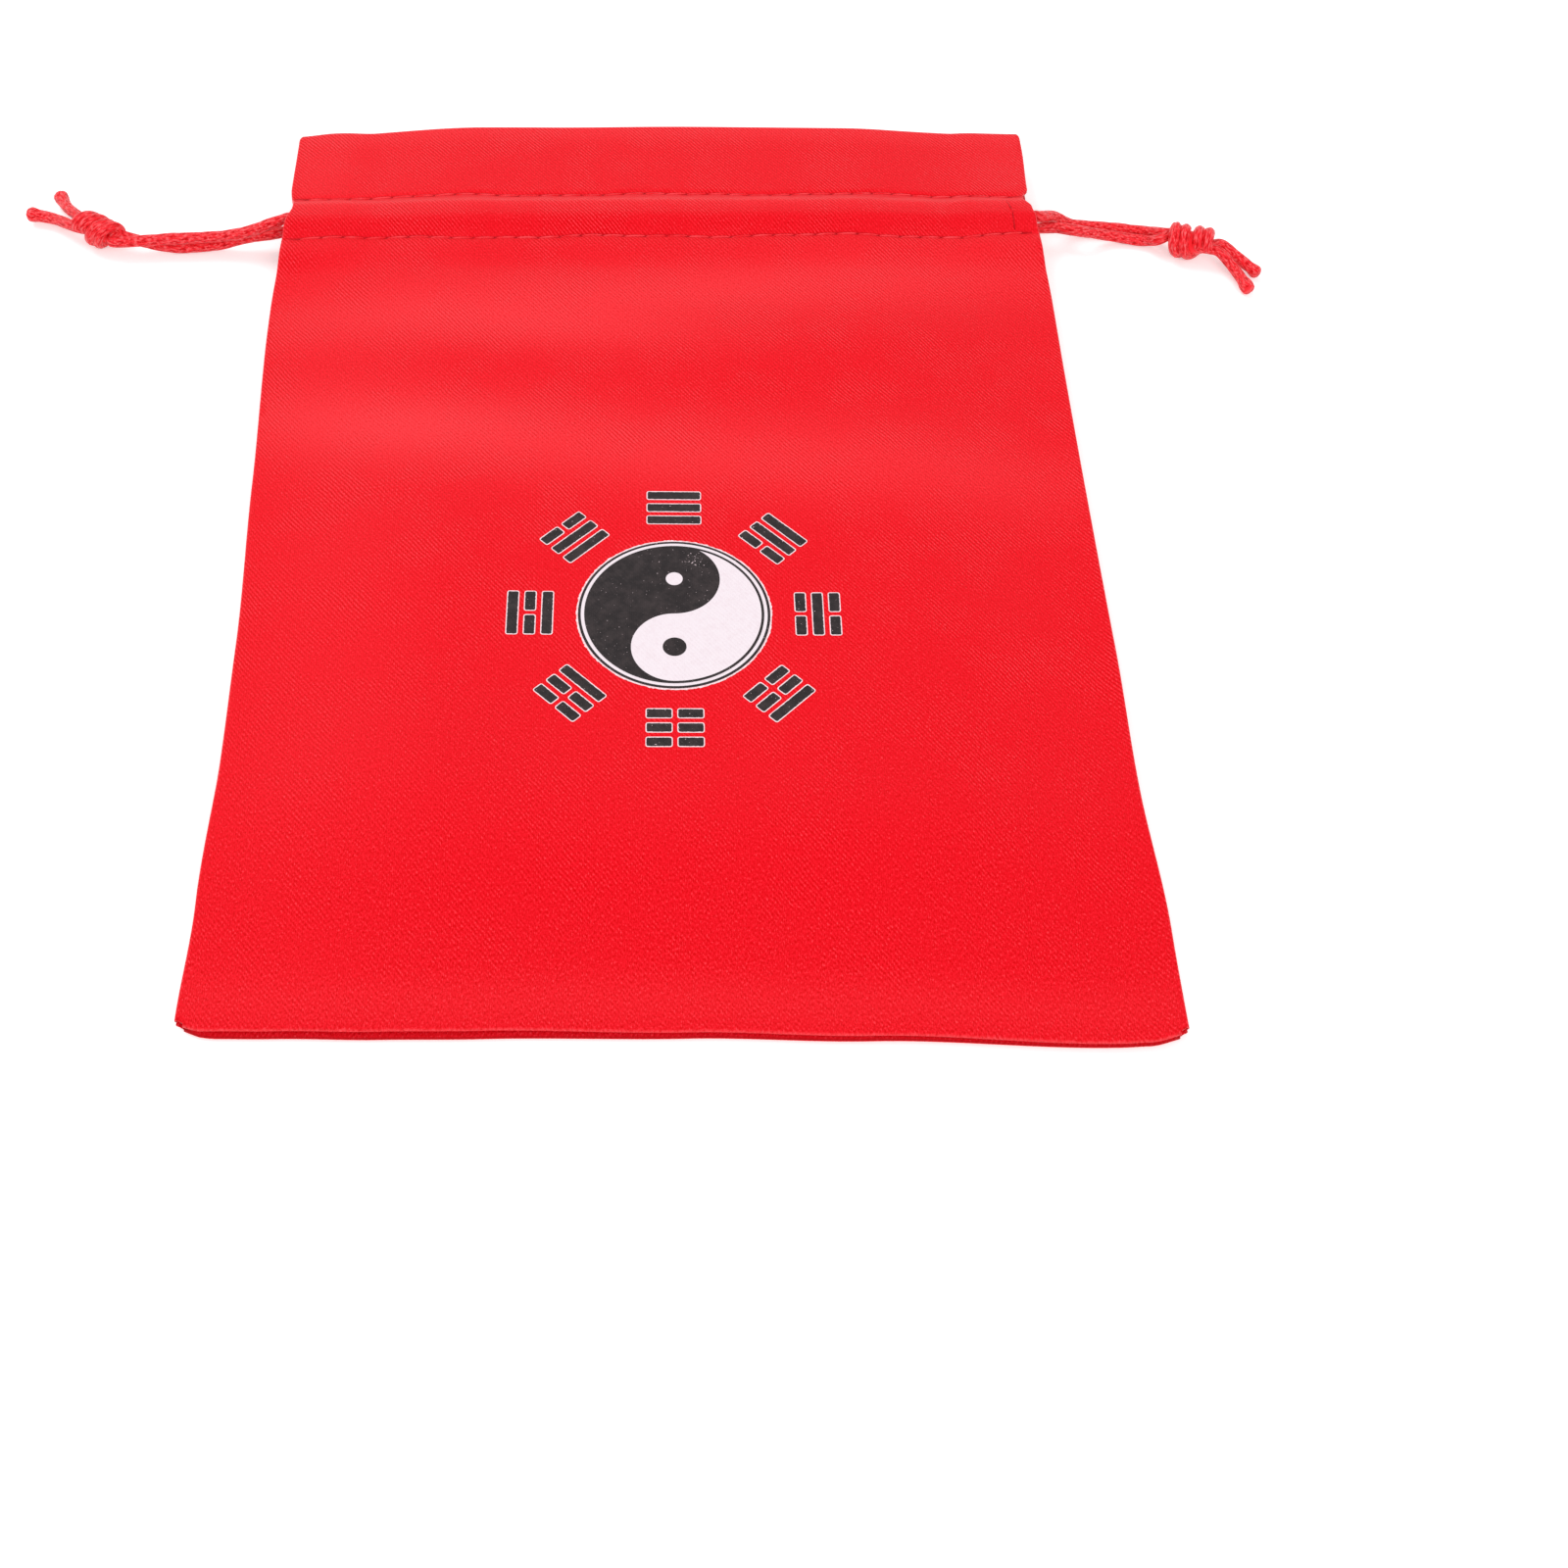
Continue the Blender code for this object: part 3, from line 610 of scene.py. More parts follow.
def free_strand(hand_name, order):
    """One strand from inside the casing, through the knot, to its tail's end."""
    facts = FREE[hand_name]
    hand = facts["hand"]
    panel, exit_y = EXITS[hand_name][order]
    held = channel_point(panel, hand * HELD_INSIDE, -hand * panel)
    leaving = channel_point(panel, hand, -hand * panel)
    leaving[1] = exit_y
    lead = leaving + np.array([hand * EXIT_LEAD, 0.0, -EXIT_DROP * panel])
    free = facts["front"] if order == 0 else facts["back"]
    through = knot_pass(hand_name, order) + [tail_root(hand_name, order)]
    route = [held, leaving, lead, *free, *through, *facts["tails"][order]]
    return smooth_route([tuple(place) for place in route], RING_SPACING)


routes = {(name, order): free_strand(name, order) for name in FREE for order in (0, 1)}
for key, route in routes.items():
    print("strand", key, "length in mm:", round(1000 * route_length(route), 1))

# %% [markdown]
# ## A braided cord as a tube
# The cords are braided satin: six thin carriers run round each way and cross in a diamond pattern. A tube
# is swept along the route, and two families of helices raise and lower its surface where the carriers pass
# over and under. The ends were cut with a hot knife, so they swell a little and close in a round, melted
# cap. One end at the right was cut cold and stays square.

# %% Braided tubes
BRAID_CARRIERS = 6
BRAID_LENGTH = 0.0036
BRAID_RELIEF = 0.06
BRAID_LEVEL = 0.6
CAP_LENGTH = 0.0008
CAP_CLOSED = 0.97
SWELL_BEFORE_END = 0.0009
SWELL_REACH = 0.0011
MELT_SHARE = 0.8
MELT_REACH = 0.0009
THICK_AND_THIN = ((0.03, 0.0021, 1), (0.02, 0.0009, 2))
TUBE_SIDES = 40
END_SWELL = {"left": 0.30, "right": 0.22}
SQUARE_END = ("right", 0)
SEED_SHIFT = 1.3


def frames_along(route):
    """Unit vectors ahead, aside and up at each point, turned as little as can be."""
    ahead = np.gradient(route, axis=0)
    ahead /= np.linalg.norm(ahead, axis=1)[:, None]
    aside = np.zeros_like(ahead)
    current = np.cross(ahead[0], (0.0, 0.0, 1.0))
    for number, direction in enumerate(ahead):
        current = current - direction * current.dot(direction)
        current /= np.linalg.norm(current)
        aside[number] = current
    return ahead, aside, np.cross(ahead, aside)


def braided_tube(name, route, radius, swell=0.0, round_start=False, round_end=True, sides=TUBE_SIDES, seed=0):
    """A braided cord of a radius along a route; swell widens its cut end."""
    _, aside, up = frames_along(route)
    walked = np.concatenate([[0.0], np.cumsum(np.linalg.norm(np.diff(route, axis=0), axis=1))])
    left = walked[-1] - walked
    share = np.ones_like(walked)
    share += swell * np.exp(-((left - SWELL_BEFORE_END) ** 2) / SWELL_REACH**2)
    share += sum(part * np.sin(walked / length + times * seed) for part, length, times in THICK_AND_THIN)
    for rounded, distance in ((round_end, left), (round_start, walked)):
        if rounded:
            from_cap = np.clip(1 - distance / CAP_LENGTH, 0.0, 1.0)
            share *= np.sqrt(np.clip(1 - CAP_CLOSED * from_cap**2, 0.0, 1.0))
    angle = np.linspace(0.0, 2 * np.pi, sides, endpoint=False)
    phase = 2 * np.pi * walked[:, None] / BRAID_LENGTH
    over = np.cos(BRAID_CARRIERS * angle[None, :] + phase + seed)
    under = np.cos(BRAID_CARRIERS * angle[None, :] - phase - seed)
    melted = 1 - MELT_SHARE * np.exp(-left / MELT_REACH)[:, None] if round_end else 1.0
    relief = BRAID_RELIEF * (np.maximum(over, under) - BRAID_LEVEL) * melted
    reach = radius * share[:, None] * (1 + relief)
    ring = np.cos(angle)[None, :, None] * aside[:, None] + np.sin(angle)[None, :, None] * up[:, None]
    points = route[:, None] + reach[..., None] * ring
    across = np.linspace(0.0, 2 * np.pi * radius, sides + 1)
    uv = np.stack(np.broadcast_arrays(across[None, :], walked[:, None]), axis=-1)
    return grid_piece(name, points, uv, closed=True, caps=True)


strands = {}
for (hand_name, order), route in routes.items():
    label = f"{hand_name}_strand_{('front', 'back')[order]}"
    melted_end = (hand_name, order) != SQUARE_END
    strands[hand_name, order] = braided_tube(
        label, route, CORD_RADIUS, swell=END_SWELL[hand_name], round_end=melted_end, seed=order + SEED_SHIFT
    )
    print(label, "faces", len(strands[hand_name, order].data.polygons))

# %% [markdown]
# Inside the casing the cord can't be seen, but it fills the ridge that it lifts, so it is there too: one
# plain run from each exit, across the front, round the far side and back across the back.

# %% The held runs in the casing
HELD_SPACING = 0.0005
HELD_SIDES = 16
BEND_STEPS = 6


def held_run(hand):
    """A cord's way round the casing, from its exit at the front to its exit at the back."""
    front = [channel_point(1, hand * share, -hand) for share in CASING_SHARES]
    back = [channel_point(-1, hand * share, hand) for share in reversed(CASING_SHARES)]
    far = (front[-1] + back[0]) / 2
    reach = front[-1] - far
    outwards = np.array([-hand * np.linalg.norm(reach), 0.0, 0.0])
    angles = [math.pi * step / BEND_STEPS for step in range(1, BEND_STEPS)]
    bend = [far + reach * math.cos(angle) + outwards * math.sin(angle) for angle in angles]
    return smooth_route(front + bend + back, HELD_SPACING)


held_cords = {}
for hand_name, facts in FREE.items():
    run = held_run(facts["hand"])
    label = f"{hand_name}_held_run"
    held_cords[hand_name] = braided_tube(label, run, CORD_RADIUS, sides=HELD_SIDES, round_start=True)
    print(hand_name, "run in the casing, mm:", round(1000 * route_length(run)))

# %% [markdown]
# A knot's middle is packed with the strands' own crossings. A soft core of cord stands for them, so no
# light shows through between the bands.

# %% Knot cores
CORE_INSET = 1.25 * CORD_RADIUS
CORE_END_INSET = CORD_RADIUS * 0.6
knot_cores = {}
for hand_name, facts in FREE.items():
    middle, line, aside, up = knot_frame(hand_name)
    deselect_all()
    bpy.ops.mesh.primitive_uv_sphere_add(segments=32, ring_count=20, radius=1.0)
    core = bpy.context.object
    core.name = f"{hand_name}_knot_core"
    turned = Matrix((line, aside, up)).transposed().to_4x4()
    core_radius = facts["knot_radius"] - CORE_INSET
    size = Matrix.Diagonal((facts["knot_length"] / 2 - CORE_END_INSET, core_radius, core_radius, 1.0))
    core.data.transform(Matrix.Translation(middle) @ turned @ size)
    core.data.shade_smooth()
    knot_cores[hand_name] = core
print("knot cores:", [core.name for core in knot_cores.values()])

# %% [markdown]
# ## The two panels
# Each panel is one sheet, as it was cut: the turned-in allowance at the bottom, the fold, the body, the
# casing, the header, the fold at the mouth, the facing down the inside and the small hem at its lower
# edge. The rows of the grid follow the cloth along that way, closest where stitches and cords shape it.
# Then the side allowances are turned in as two strips, and Solidify gives the sheet its quarter of a
# millimetre.

# %% Rows of a panel
BODY_STEP = 0.00095
FACED_STEP = 0.0006
CASING_STEP = 0.00036
HEADER_STEP = 0.0007
STITCHED_FROM = LOWER_STITCH - 0.0012
STITCHED_TO = UPPER_STITCH + 0.0014
ALLOWANCE_ROWS = (SEAM_ALLOWANCE, 0.005, 0.002)
MOUTH_ROWS = (MOUTH_CORNER_RADIUS, 0.0011, 0.0007)
FACING_ROW_COUNT = 18
COLUMNS = np.linspace(-1.0, 1.0, 137)
TURNED_SHARES = (0.25, 0.5, 0.75, 1.0)


def half_turn(steps=7):
    """(outwards, upwards) shares along a fold, from the outer ply to the inner one, ends left out."""
    angles = [math.pi * step / steps for step in range(1, steps)]
    return [(math.sin(angle), math.cos(angle)) for angle in angles]


def spread_out(low, high, step):
    """Places from low, included, to high, left out."""
    return list(np.linspace(low, high, max(round((high - low) / step), 1), endpoint=False))


def panel_rows():
    """(height, height that sets the shape, lift, inset, whether it is an outer row) from end to end."""
    bottom = FOLD_RADIUS + CLOTH / 2
    top = POUCH_HEIGHT - bottom
    clear = CORNER_CLEARANCE
    rows = [(h, h, 0.0, clear + h, False) for h in (*ALLOWANCE_ROWS, 2 * bottom)]
    for outwards, upwards in reversed(half_turn()):
        height = bottom - FOLD_RADIUS * outwards
        rows.append((height, 2 * bottom, FOLD_RADIUS * (1 + upwards), clear, False))
    rows.append((bottom, 2 * bottom, PLY_PITCH, clear, False))
    outer = spread_out(CORNER_RADIUS, FACED_FROM, BODY_STEP)
    outer += spread_out(FACED_FROM, STITCHED_FROM, FACED_STEP)
    outer += spread_out(STITCHED_FROM, STITCHED_TO, CASING_STEP)
    outer += spread_out(STITCHED_TO, POUCH_HEIGHT - MOUTH_CORNER_RADIUS, HEADER_STEP)
    outer += [POUCH_HEIGHT - below for below in MOUTH_ROWS]
    rows += [(h, h, float(outer_lift(h)), bottom, True) for h in outer]
    rows.append((top, top, PLY_PITCH, clear, False))
    for outwards, upwards in half_turn():
        rows.append((top + FOLD_RADIUS * outwards, top, FOLD_RADIUS * (1 + upwards), clear, False))
    hem_bend = HEM_EDGE + FOLD_RADIUS
    rows += [(h, h, 0.0, FACING_INSET, False) for h in np.linspace(top, hem_bend, FACING_ROW_COUNT)]
    for outwards, upwards in reversed(half_turn()):
        height = HEM_EDGE + FOLD_RADIUS * (1 - outwards)
        rows.append((height, HEM_EDGE, FOLD_RADIUS * (1 + upwards), FACING_INSET, False))
    for height in (hem_bend, LOWER_STITCH, HEM_EDGE + HEM_TURN):
        rows.append((height, height, PLY_PITCH, FACING_INSET, False))
    return rows


ROWS = panel_rows()
print("rows in a panel:", len(ROWS), "columns:", len(COLUMNS))


# %% Panels as sheets
def row_points(side, row):
    """One row of a panel's points, from its left edge to its right one."""
    height, shape_height, lift, inset, outer = row
    half = float(half_width(shape_height)) - inset
    x = COLUMNS * half
    if outer:
        extra = side_lift(x / float(half_width(shape_height)), shape_height)
        return panel_point(side, x, height, shape_height, lift + extra, stitch_relief(side, x, height))
    return panel_point(side, x, height, shape_height, lift)


def strip_points(side, edge, row, first, last):
    """One row of the allowance turned in at a side, from the panel's edge inwards."""
    height, shape_height, lift, inset, _ = row
    half = float(half_width(shape_height)) - inset
    whole = float(half_width(shape_height))
    top_lift = lift + float(side_lift(half / whole, shape_height))
    points = [row_points(side, row)[0 if edge < 0 else -1]]
    for outwards, upwards in half_turn():
        x = edge * (half + FOLD_RADIUS * outwards)
        level = top_lift - FOLD_RADIUS * (1 - upwards)
        points.append(panel_point(side, x, height, shape_height, level))
    clip_low, clip_high = first + 3 * SEAM_ALLOWANCE, UPPER_STITCH
    for part in TURNED_SHARES:
        depth = part * (SEAM_ALLOWANCE - CLOTH)
        clipped = height + depth * max((clip_low - height) / (clip_low - first), 0.0)
        clipped -= depth * max((height - clip_high) / (last - clip_high), 0.0)
        level = float(outer_lift(clipped)) + float(side_lift(1 - depth / half, clipped)) - PLY_PITCH
        points.append(panel_point(side, edge * (half - depth), clipped, clipped, level))
    return points


# %% [markdown]
# A material can read numbers that are written on a mesh's points. Each point of a panel says how far the
# nearest stitches are, for the painted shade in their crease, which stitch lies beside it, how strong the
# painted sheen is there and whether it is on a fold, for the painted highlight and shade along the folds.

# %% Marks on the sheets
MARKS = ("from_stitches", "stitch_number", "painted_sheen", "on_fold")
FAR_FROM_STITCHES = 0.01
STRIP_MARKS = (FAR_FROM_STITCHES, 0.0, 0.0)
# How strong the painted fold highlight (1) and the painted groove shade (-1) are across a fold.
FOLD_STATIONS = (-0.99, -0.6, -0.3, 0.1, 0.5, 0.99)
FOLD_VALUES = (0.0, -1.0, -1.0, 1.0, 1.0, 0.0)
SAME_PLACE = 1e-6


def fold_mark(upwards):
    """From a fold's outer side (1) to its inner side (-1): 1 for the painted highlight on the crest, -1 for
    painted shade in the groove.
    """
    return float(np.interp(upwards, FOLD_STATIONS, FOLD_VALUES))


def row_marks(side, row):
    """The four marks of each point in a row."""
    height, shape_height, lift, inset, outer = row
    x = COLUMNS * (float(half_width(shape_height)) - inset)
    rows = [row_height + row_wander(x, phase + side) for _, row_height, phase in STITCH_ROWS]
    nearest = np.minimum(*[np.abs(height - row) for row in rows]) if outer else np.ones_like(x)
    on_fold = 0.0 if outer else fold_mark(2 * lift / PLY_PITCH - 1)
    near = np.minimum(nearest, FAR_FROM_STITCHES)
    return near, x / STITCH_PITCH, bumps(PAINTED_SHEEN_BANDS, x, height), np.full_like(x, on_fold)


# %% Two sheets of satin
def cloth_panel(name, side):
    """A whole panel, and the length of the sheet along its middle."""
    points = np.array([row_points(side, row) for row in ROWS])
    middle = points[:, len(COLUMNS) // 2]
    way = np.concatenate([[0.0], np.cumsum(np.linalg.norm(np.diff(middle, axis=0), axis=1))])
    uv = np.stack(np.broadcast_arrays(points[..., 0], way[:, None]), axis=-1)
    sheets = [grid_piece(name, points, uv, flip=side < 0)]
    marks = np.array([row_marks(side, row) for row in ROWS])
    for number, mark in enumerate(MARKS):
        mark_points(sheets[0], mark, marks[:, number])
    turned = [0.0] + [fold_mark(upwards) for _, upwards in half_turn()] + [0.0] * len(TURNED_SHARES)
    outer = [number for number, row in enumerate(ROWS) if row[4]]
    first, last = ROWS[outer[0]][0], ROWS[outer[-1]][0]
    for edge in (-1, 1):
        strip = np.array([strip_points(side, edge, ROWS[number], first, last) for number in outer])
        inwards = np.concatenate([[0.0], np.cumsum(np.linalg.norm(np.diff(strip[0], axis=0), axis=1))])
        across = strip[:, :1, 0] + edge * inwards[None, :]
        strip_uv = np.stack(np.broadcast_arrays(across, way[outer][:, None]), axis=-1)
        sheets.append(grid_piece(f"{name}_strip", strip, strip_uv, flip=(edge < 0) != (side < 0)))
        for mark, value in zip(MARKS, (*STRIP_MARKS, np.array(turned))):
            mark_points(sheets[-1], mark, np.broadcast_to(value, strip.shape[:2]))
    panel = joined(sheets, name, merge=SAME_PLACE)
    wall = panel.modifiers.new("cloth", "SOLIDIFY")
    wall.thickness = CLOTH
    wall.offset = 0.0
    only(panel)
    bpy.ops.object.modifier_apply(modifier=wall.name)
    return panel, float(way[-1])


front_cloth, cloth_length = cloth_panel("front_cloth", 1)
back_cloth, _ = cloth_panel("back_cloth", -1)
print("length of the sheet in mm:", round(1000 * cloth_length, 1), "faces:", len(front_cloth.data.polygons))

# %% [markdown]
# ## Sewing thread
# A lockstitch shows as short lengths of thread, each dipping into the cloth where the needle went in. One
# stitch is a slender ellipsoid. It is modelled once, and copies with their own meshes are laid along the
# rows, each a little slanted because a machine's stitch always twists the same way.

# %% Stitches
STITCH_LENGTH = 0.0034
THREAD_RADIUS = 0.00020
STITCH_SLANT = 0.05
SLANT_CHANGE = 0.5
ROW_END_GAP = 0.0010
THREAD_PROUD = 0.00006
UPRIGHT_STITCHES = 3
UPRIGHT_STITCH_HALF = 0.0014
UPRIGHT_PROUD = 0.00004

deselect_all()
bpy.ops.mesh.primitive_uv_sphere_add(segments=8, ring_count=8, radius=1.0, rotation=(0, math.pi / 2, 0))
one_stitch = bpy.context.object
bpy.ops.object.transform_apply(location=False, rotation=True, scale=True)
bpy.ops.object.mode_set(mode="EDIT")
bpy.ops.mesh.select_all(action="SELECT")
bpy.ops.transform.resize(value=(STITCH_LENGTH / 2, THREAD_RADIUS, THREAD_RADIUS))
bpy.ops.object.mode_set(mode="OBJECT")
one_stitch.data.shade_smooth()


def lay_stitch(start, end, upwards, number):
    """A copy of the stitch between two places on the cloth."""
    start, end, upwards = Vector(start), Vector(end), Vector(upwards)
    ahead = (end - start).normalized()
    aside = upwards.cross(ahead).normalized()
    slant = STITCH_SLANT * (1 + SLANT_CHANGE * math.sin(2.3 * number))
    ahead = (ahead + aside * slant).normalized()
    aside = upwards.cross(ahead).normalized()
    turned = Matrix((ahead, aside, ahead.cross(aside))).transposed().to_4x4()
    copy = one_stitch.copy()
    copy.data = one_stitch.data.copy()
    bpy.context.scene.collection.objects.link(copy)
    copy.data.transform(Matrix.Translation((start + end) / 2) @ turned)
    return copy


def stitch_row(name, side, row_height, phase):
    """A row across the panel, from edge to edge."""
    end = float(half_width(row_height)) - ROW_END_GAP
    count = 2 * int(end / STITCH_PITCH)
    copies = []
    for number in range(count):
        middle = (number + 0.5 - count / 2) * STITCH_PITCH
        xs = np.array([middle - STITCH_PITCH / 2, middle + STITCH_PITCH / 2])
        heights = row_height + row_wander(xs, phase + side)
        places = outer_point(side, xs, heights, above=THREAD_PROUD)
        copies.append(lay_stitch(places[0], places[1], (0, 0, side), number))
    return joined(copies, name)


threads = []
for row_name, row_height, phase in STITCH_ROWS:
    for side, panel_name in ((1, "front"), (-1, "back")):
        threads.append(stitch_row(f"{panel_name}_{row_name}_stitches", side, row_height, phase))

upright = []
lowest, highest = UPRIGHT_ROW[0] + UPRIGHT_STITCH_HALF, UPRIGHT_ROW[1] - UPRIGHT_STITCH_HALF
for number, height in enumerate(np.linspace(lowest, highest, UPRIGHT_STITCHES)):
    heights = np.array([height - UPRIGHT_STITCH_HALF, height + UPRIGHT_STITCH_HALF])
    places = outer_point(1, upright_x(heights), heights, above=UPRIGHT_PROUD)
    upright.append(lay_stitch(places[0], places[1], (0, 0, 1), number))
threads.append(joined(upright, "casing_end_stitches"))
bpy.data.objects.remove(one_stitch, do_unlink=True)
print("stitch pieces:", [piece.name for piece in threads])

# %% [markdown]
# ## The print
# The emblem is a heat-transfer print: thin films of black and white on a pale underbase, which shows as an
# uneven light edge round each shape. Every film is drawn flat, pressed down on the cloth by Shrinkwrap,
# and given its thickness by Solidify. An attribute tells how far inside its own edge each point lies, so
# that the ink's material can fray the edge.

# %% Print sizes
PRINT_CENTRE = (-0.00045, -0.0235)
PRINT_TURN = math.radians(-0.95)
FILM = 0.00002
LAYER_PITCH = 0.00003
PRESS_FROM = 0.020
RIM_ANGLE = math.radians(40)
HALO_RADIUS = 0.01432
OUTER_RING = (0.01365, 0.01405)
FIELD_RADIUS = 0.01315
LOBE_RADIUS = 0.01275
DARK_HEAD_RADIUS = 0.00675
LIGHT_HEAD_RADIUS = 0.0063
LIGHT_HEAD_Y = LIGHT_HEAD_RADIUS - LOBE_RADIUS
DARK_HEAD_Y = LIGHT_HEAD_Y + LIGHT_HEAD_RADIUS + DARK_HEAD_RADIUS
LIGHT_EYE_RADIUS = 0.00125
DARK_EYE_RADIUS = 0.00172
TRIGRAM_RADIUS = 0.02104
BAR_LENGTH = 0.0083
BAR_WIDTH = 0.00180
BAR_PITCH = 0.00252
BAR_BREAK = 0.00066
BAR_CORNER = 0.00036
PALE_EDGE = 0.00026
BAR_CUTS = 0.0008
DISC_CUTS = 0.0012
DISC_CUT_REACH = LOBE_RADIUS + 0.0018
TRIGRAMS = {
    "top": (True, True, True),
    "upper_right": (False, True, True),
    "right": (False, True, False),
    "lower_right": (False, False, True),
    "bottom": (False, False, False),
    "lower_left": (True, False, False),
    "left": (True, False, True),
    "upper_left": (True, True, False),
}


# %% Drawing the films
def mark_edge(piece, inset):
    """Insets the one face and writes how far inside the edge each point lies, 0 at the edge."""
    mesh = piece.data
    outline = {vertex.index for vertex in mesh.vertices}
    only(piece)
    bpy.ops.object.mode_set(mode="EDIT")
    bpy.ops.mesh.select_all(action="SELECT")
    bpy.ops.mesh.inset(thickness=inset, depth=0.0)
    bpy.ops.object.mode_set(mode="OBJECT")
    mark_points(piece, "inside_edge", [number not in outline for number in range(len(mesh.vertices))])


def cut_across(piece, spacing, reach, axis):
    """Bisects a flat piece at even places, so that it can bend with the cloth."""
    only(piece)
    bpy.ops.object.mode_set(mode="EDIT")
    for place in np.arange(-reach + spacing / 2, reach, spacing):
        bpy.ops.mesh.select_all(action="SELECT")
        point = (place, 0, 0) if axis == 0 else (0, place, 0)
        normal = (1, 0, 0) if axis == 0 else (0, 1, 0)
        bpy.ops.mesh.bisect(plane_co=point, plane_no=normal)
    bpy.ops.object.mode_set(mode="OBJECT")


def printed(piece, turned=0.0):
    """Moves a film drawn about the origin to its place over the cloth."""
    centre = Matrix.Translation((*PRINT_CENTRE, PRESS_FROM))
    piece.data.transform(centre @ Matrix.Rotation(PRINT_TURN + turned, 4, "Z"))
    return piece


def pressed(piece, name, layer):
    """Presses a film down on the cloth, above the layers under it, and gives it its thickness."""
    only(piece)
    piece.name = name
    piece.data.name = name
    if piece.data.polygons[0].normal.z < 0:
        piece.data.flip_normals()
    down = piece.modifiers.new("press", "SHRINKWRAP")
    down.wrap_method = "PROJECT"
    down.use_project_z = True
    down.use_negative_direction = True
    down.use_positive_direction = False
    down.target = front_cloth
    down.offset = LAYER_PITCH * (1 + layer)
    bpy.ops.object.modifier_apply(modifier=down.name)
    wall = piece.modifiers.new("film", "SOLIDIFY")
    wall.thickness = FILM
    wall.offset = 1.0
    bpy.ops.object.modifier_apply(modifier=wall.name)
    piece.data.shade_smooth()
    piece.data.set_sharp_from_angle(angle=RIM_ANGLE)
    return piece


# %% [markdown]
# A bar is a plane made as long and as wide as the real one, with its corners bevelled round. A whole bar
# is one film, and a broken bar is two halves with a gap between them.


# %% Trigram bars
def bar_film(length, centre_x, centre_y):
    """A flat bar with rounded corners, cut across so that it can bend."""
    deselect_all()
    bpy.ops.mesh.primitive_plane_add(size=1.0)
    bar = bpy.context.object
    bpy.ops.object.mode_set(mode="EDIT")
    bpy.ops.mesh.select_all(action="SELECT")
    bpy.ops.transform.resize(value=(length, BAR_WIDTH, 1.0))
    bpy.ops.mesh.bevel(offset=BAR_CORNER, segments=3, affect="VERTICES", clamp_overlap=False)
    bpy.ops.object.mode_set(mode="OBJECT")
    mark_edge(bar, PALE_EDGE)
    cut_across(bar, BAR_CUTS, length / 2, 0)
    bar.data.transform(Matrix.Translation((centre_x, centre_y, 0.0)))
    return bar


def trigram(where, rows, turned):
    """Three bars, whole or broken, from the inner one outwards."""
    half = (BAR_LENGTH - BAR_BREAK) / 2
    bars = []
    for row, whole in enumerate(rows):
        y = TRIGRAM_RADIUS + (row - 1) * BAR_PITCH
        if whole:
            bars.append(bar_film(BAR_LENGTH, 0.0, y))
            continue
        bars += [bar_film(half, hand * (half + BAR_BREAK) / 2, y) for hand in (-1, 1)]
    piece = printed(joined(bars, f"trigram_{where}"), turned)
    return pressed(piece, f"trigram_{where}", 0)


trigrams = {}
for number, (where, rows) in enumerate(TRIGRAMS.items()):
    trigrams[where] = trigram(where, rows, math.radians(-45 * number))
print("trigrams:", list(trigrams))

# %% [markdown]
# The disc is a stack of films: a pale underbase whose edge wanders, the black outer ring, the white disc
# that shows as a ring, the dark field, the light lobe and the two eyes. The lobe's outline is three arcs.
# A single point is spun about each centre in turn, so the arcs meet exactly.


# %% Disc films
def round_film(radius, centre=(0.0, 0.0), steps=160, inset=0.0):
    """A flat disc; an inset marks how far its points lie inside its edge."""
    deselect_all()
    bpy.ops.mesh.primitive_circle_add(vertices=steps, radius=radius, fill_type="NGON")
    film = bpy.context.object
    if inset:
        mark_edge(film, inset)
    film.data.transform(Matrix.Translation((*centre, 0.0)))
    return film


def spin_point(centre, degrees, steps):
    """Spins the selected point anticlockwise; the operator itself turns the other way."""
    bpy.ops.mesh.spin(steps=steps, angle=-math.radians(degrees), center=(*centre, 0.0), axis=(0, 0, 1))


HEAD_ARC_STEPS = 48
RIM_ARC_STEPS = 80


def lobe_film():
    """The light lobe: two heads' arcs and the disc's rim, joined into one face."""
    tip_y = (LOBE_RADIUS**2 - DARK_HEAD_RADIUS**2 + DARK_HEAD_Y**2) / (2 * DARK_HEAD_Y)
    tip_x = math.sqrt(LOBE_RADIUS**2 - tip_y**2)
    tip = math.degrees(math.atan2(tip_y, tip_x))
    inner_tip = math.degrees(math.atan2(tip_y - DARK_HEAD_Y, tip_x))
    mesh = bpy.data.meshes.new("light_lobe")
    mesh.from_pydata([(0.0, -LOBE_RADIUS, 0.0)], [], [])
    film = bpy.data.objects.new("light_lobe", mesh)
    bpy.context.scene.collection.objects.link(film)
    only(film)
    bpy.ops.object.mode_set(mode="EDIT")
    bpy.ops.mesh.select_all(action="SELECT")
    spin_point((0.0, LIGHT_HEAD_Y), -180, HEAD_ARC_STEPS)
    spin_point((0.0, DARK_HEAD_Y), 90 + inner_tip, HEAD_ARC_STEPS)
    spin_point((0.0, 0.0), -(tip + 90), RIM_ARC_STEPS)
    bpy.ops.mesh.select_all(action="SELECT")
    bpy.ops.mesh.remove_doubles(threshold=2e-5)
    bpy.ops.mesh.edge_face_add()
    bpy.ops.object.mode_set(mode="OBJECT")
    print("light lobe:", len(mesh.vertices), "points,", len(mesh.polygons), "face")
    return film


def disc_film(film, name, layer):
    """Cuts a film of the disc both ways, so that it can follow the cloth, and presses it on."""
    cut_across(film, DISC_CUTS, DISC_CUT_REACH, 0)
    cut_across(film, DISC_CUTS, DISC_CUT_REACH, 1)
    return pressed(printed(film), name, layer)


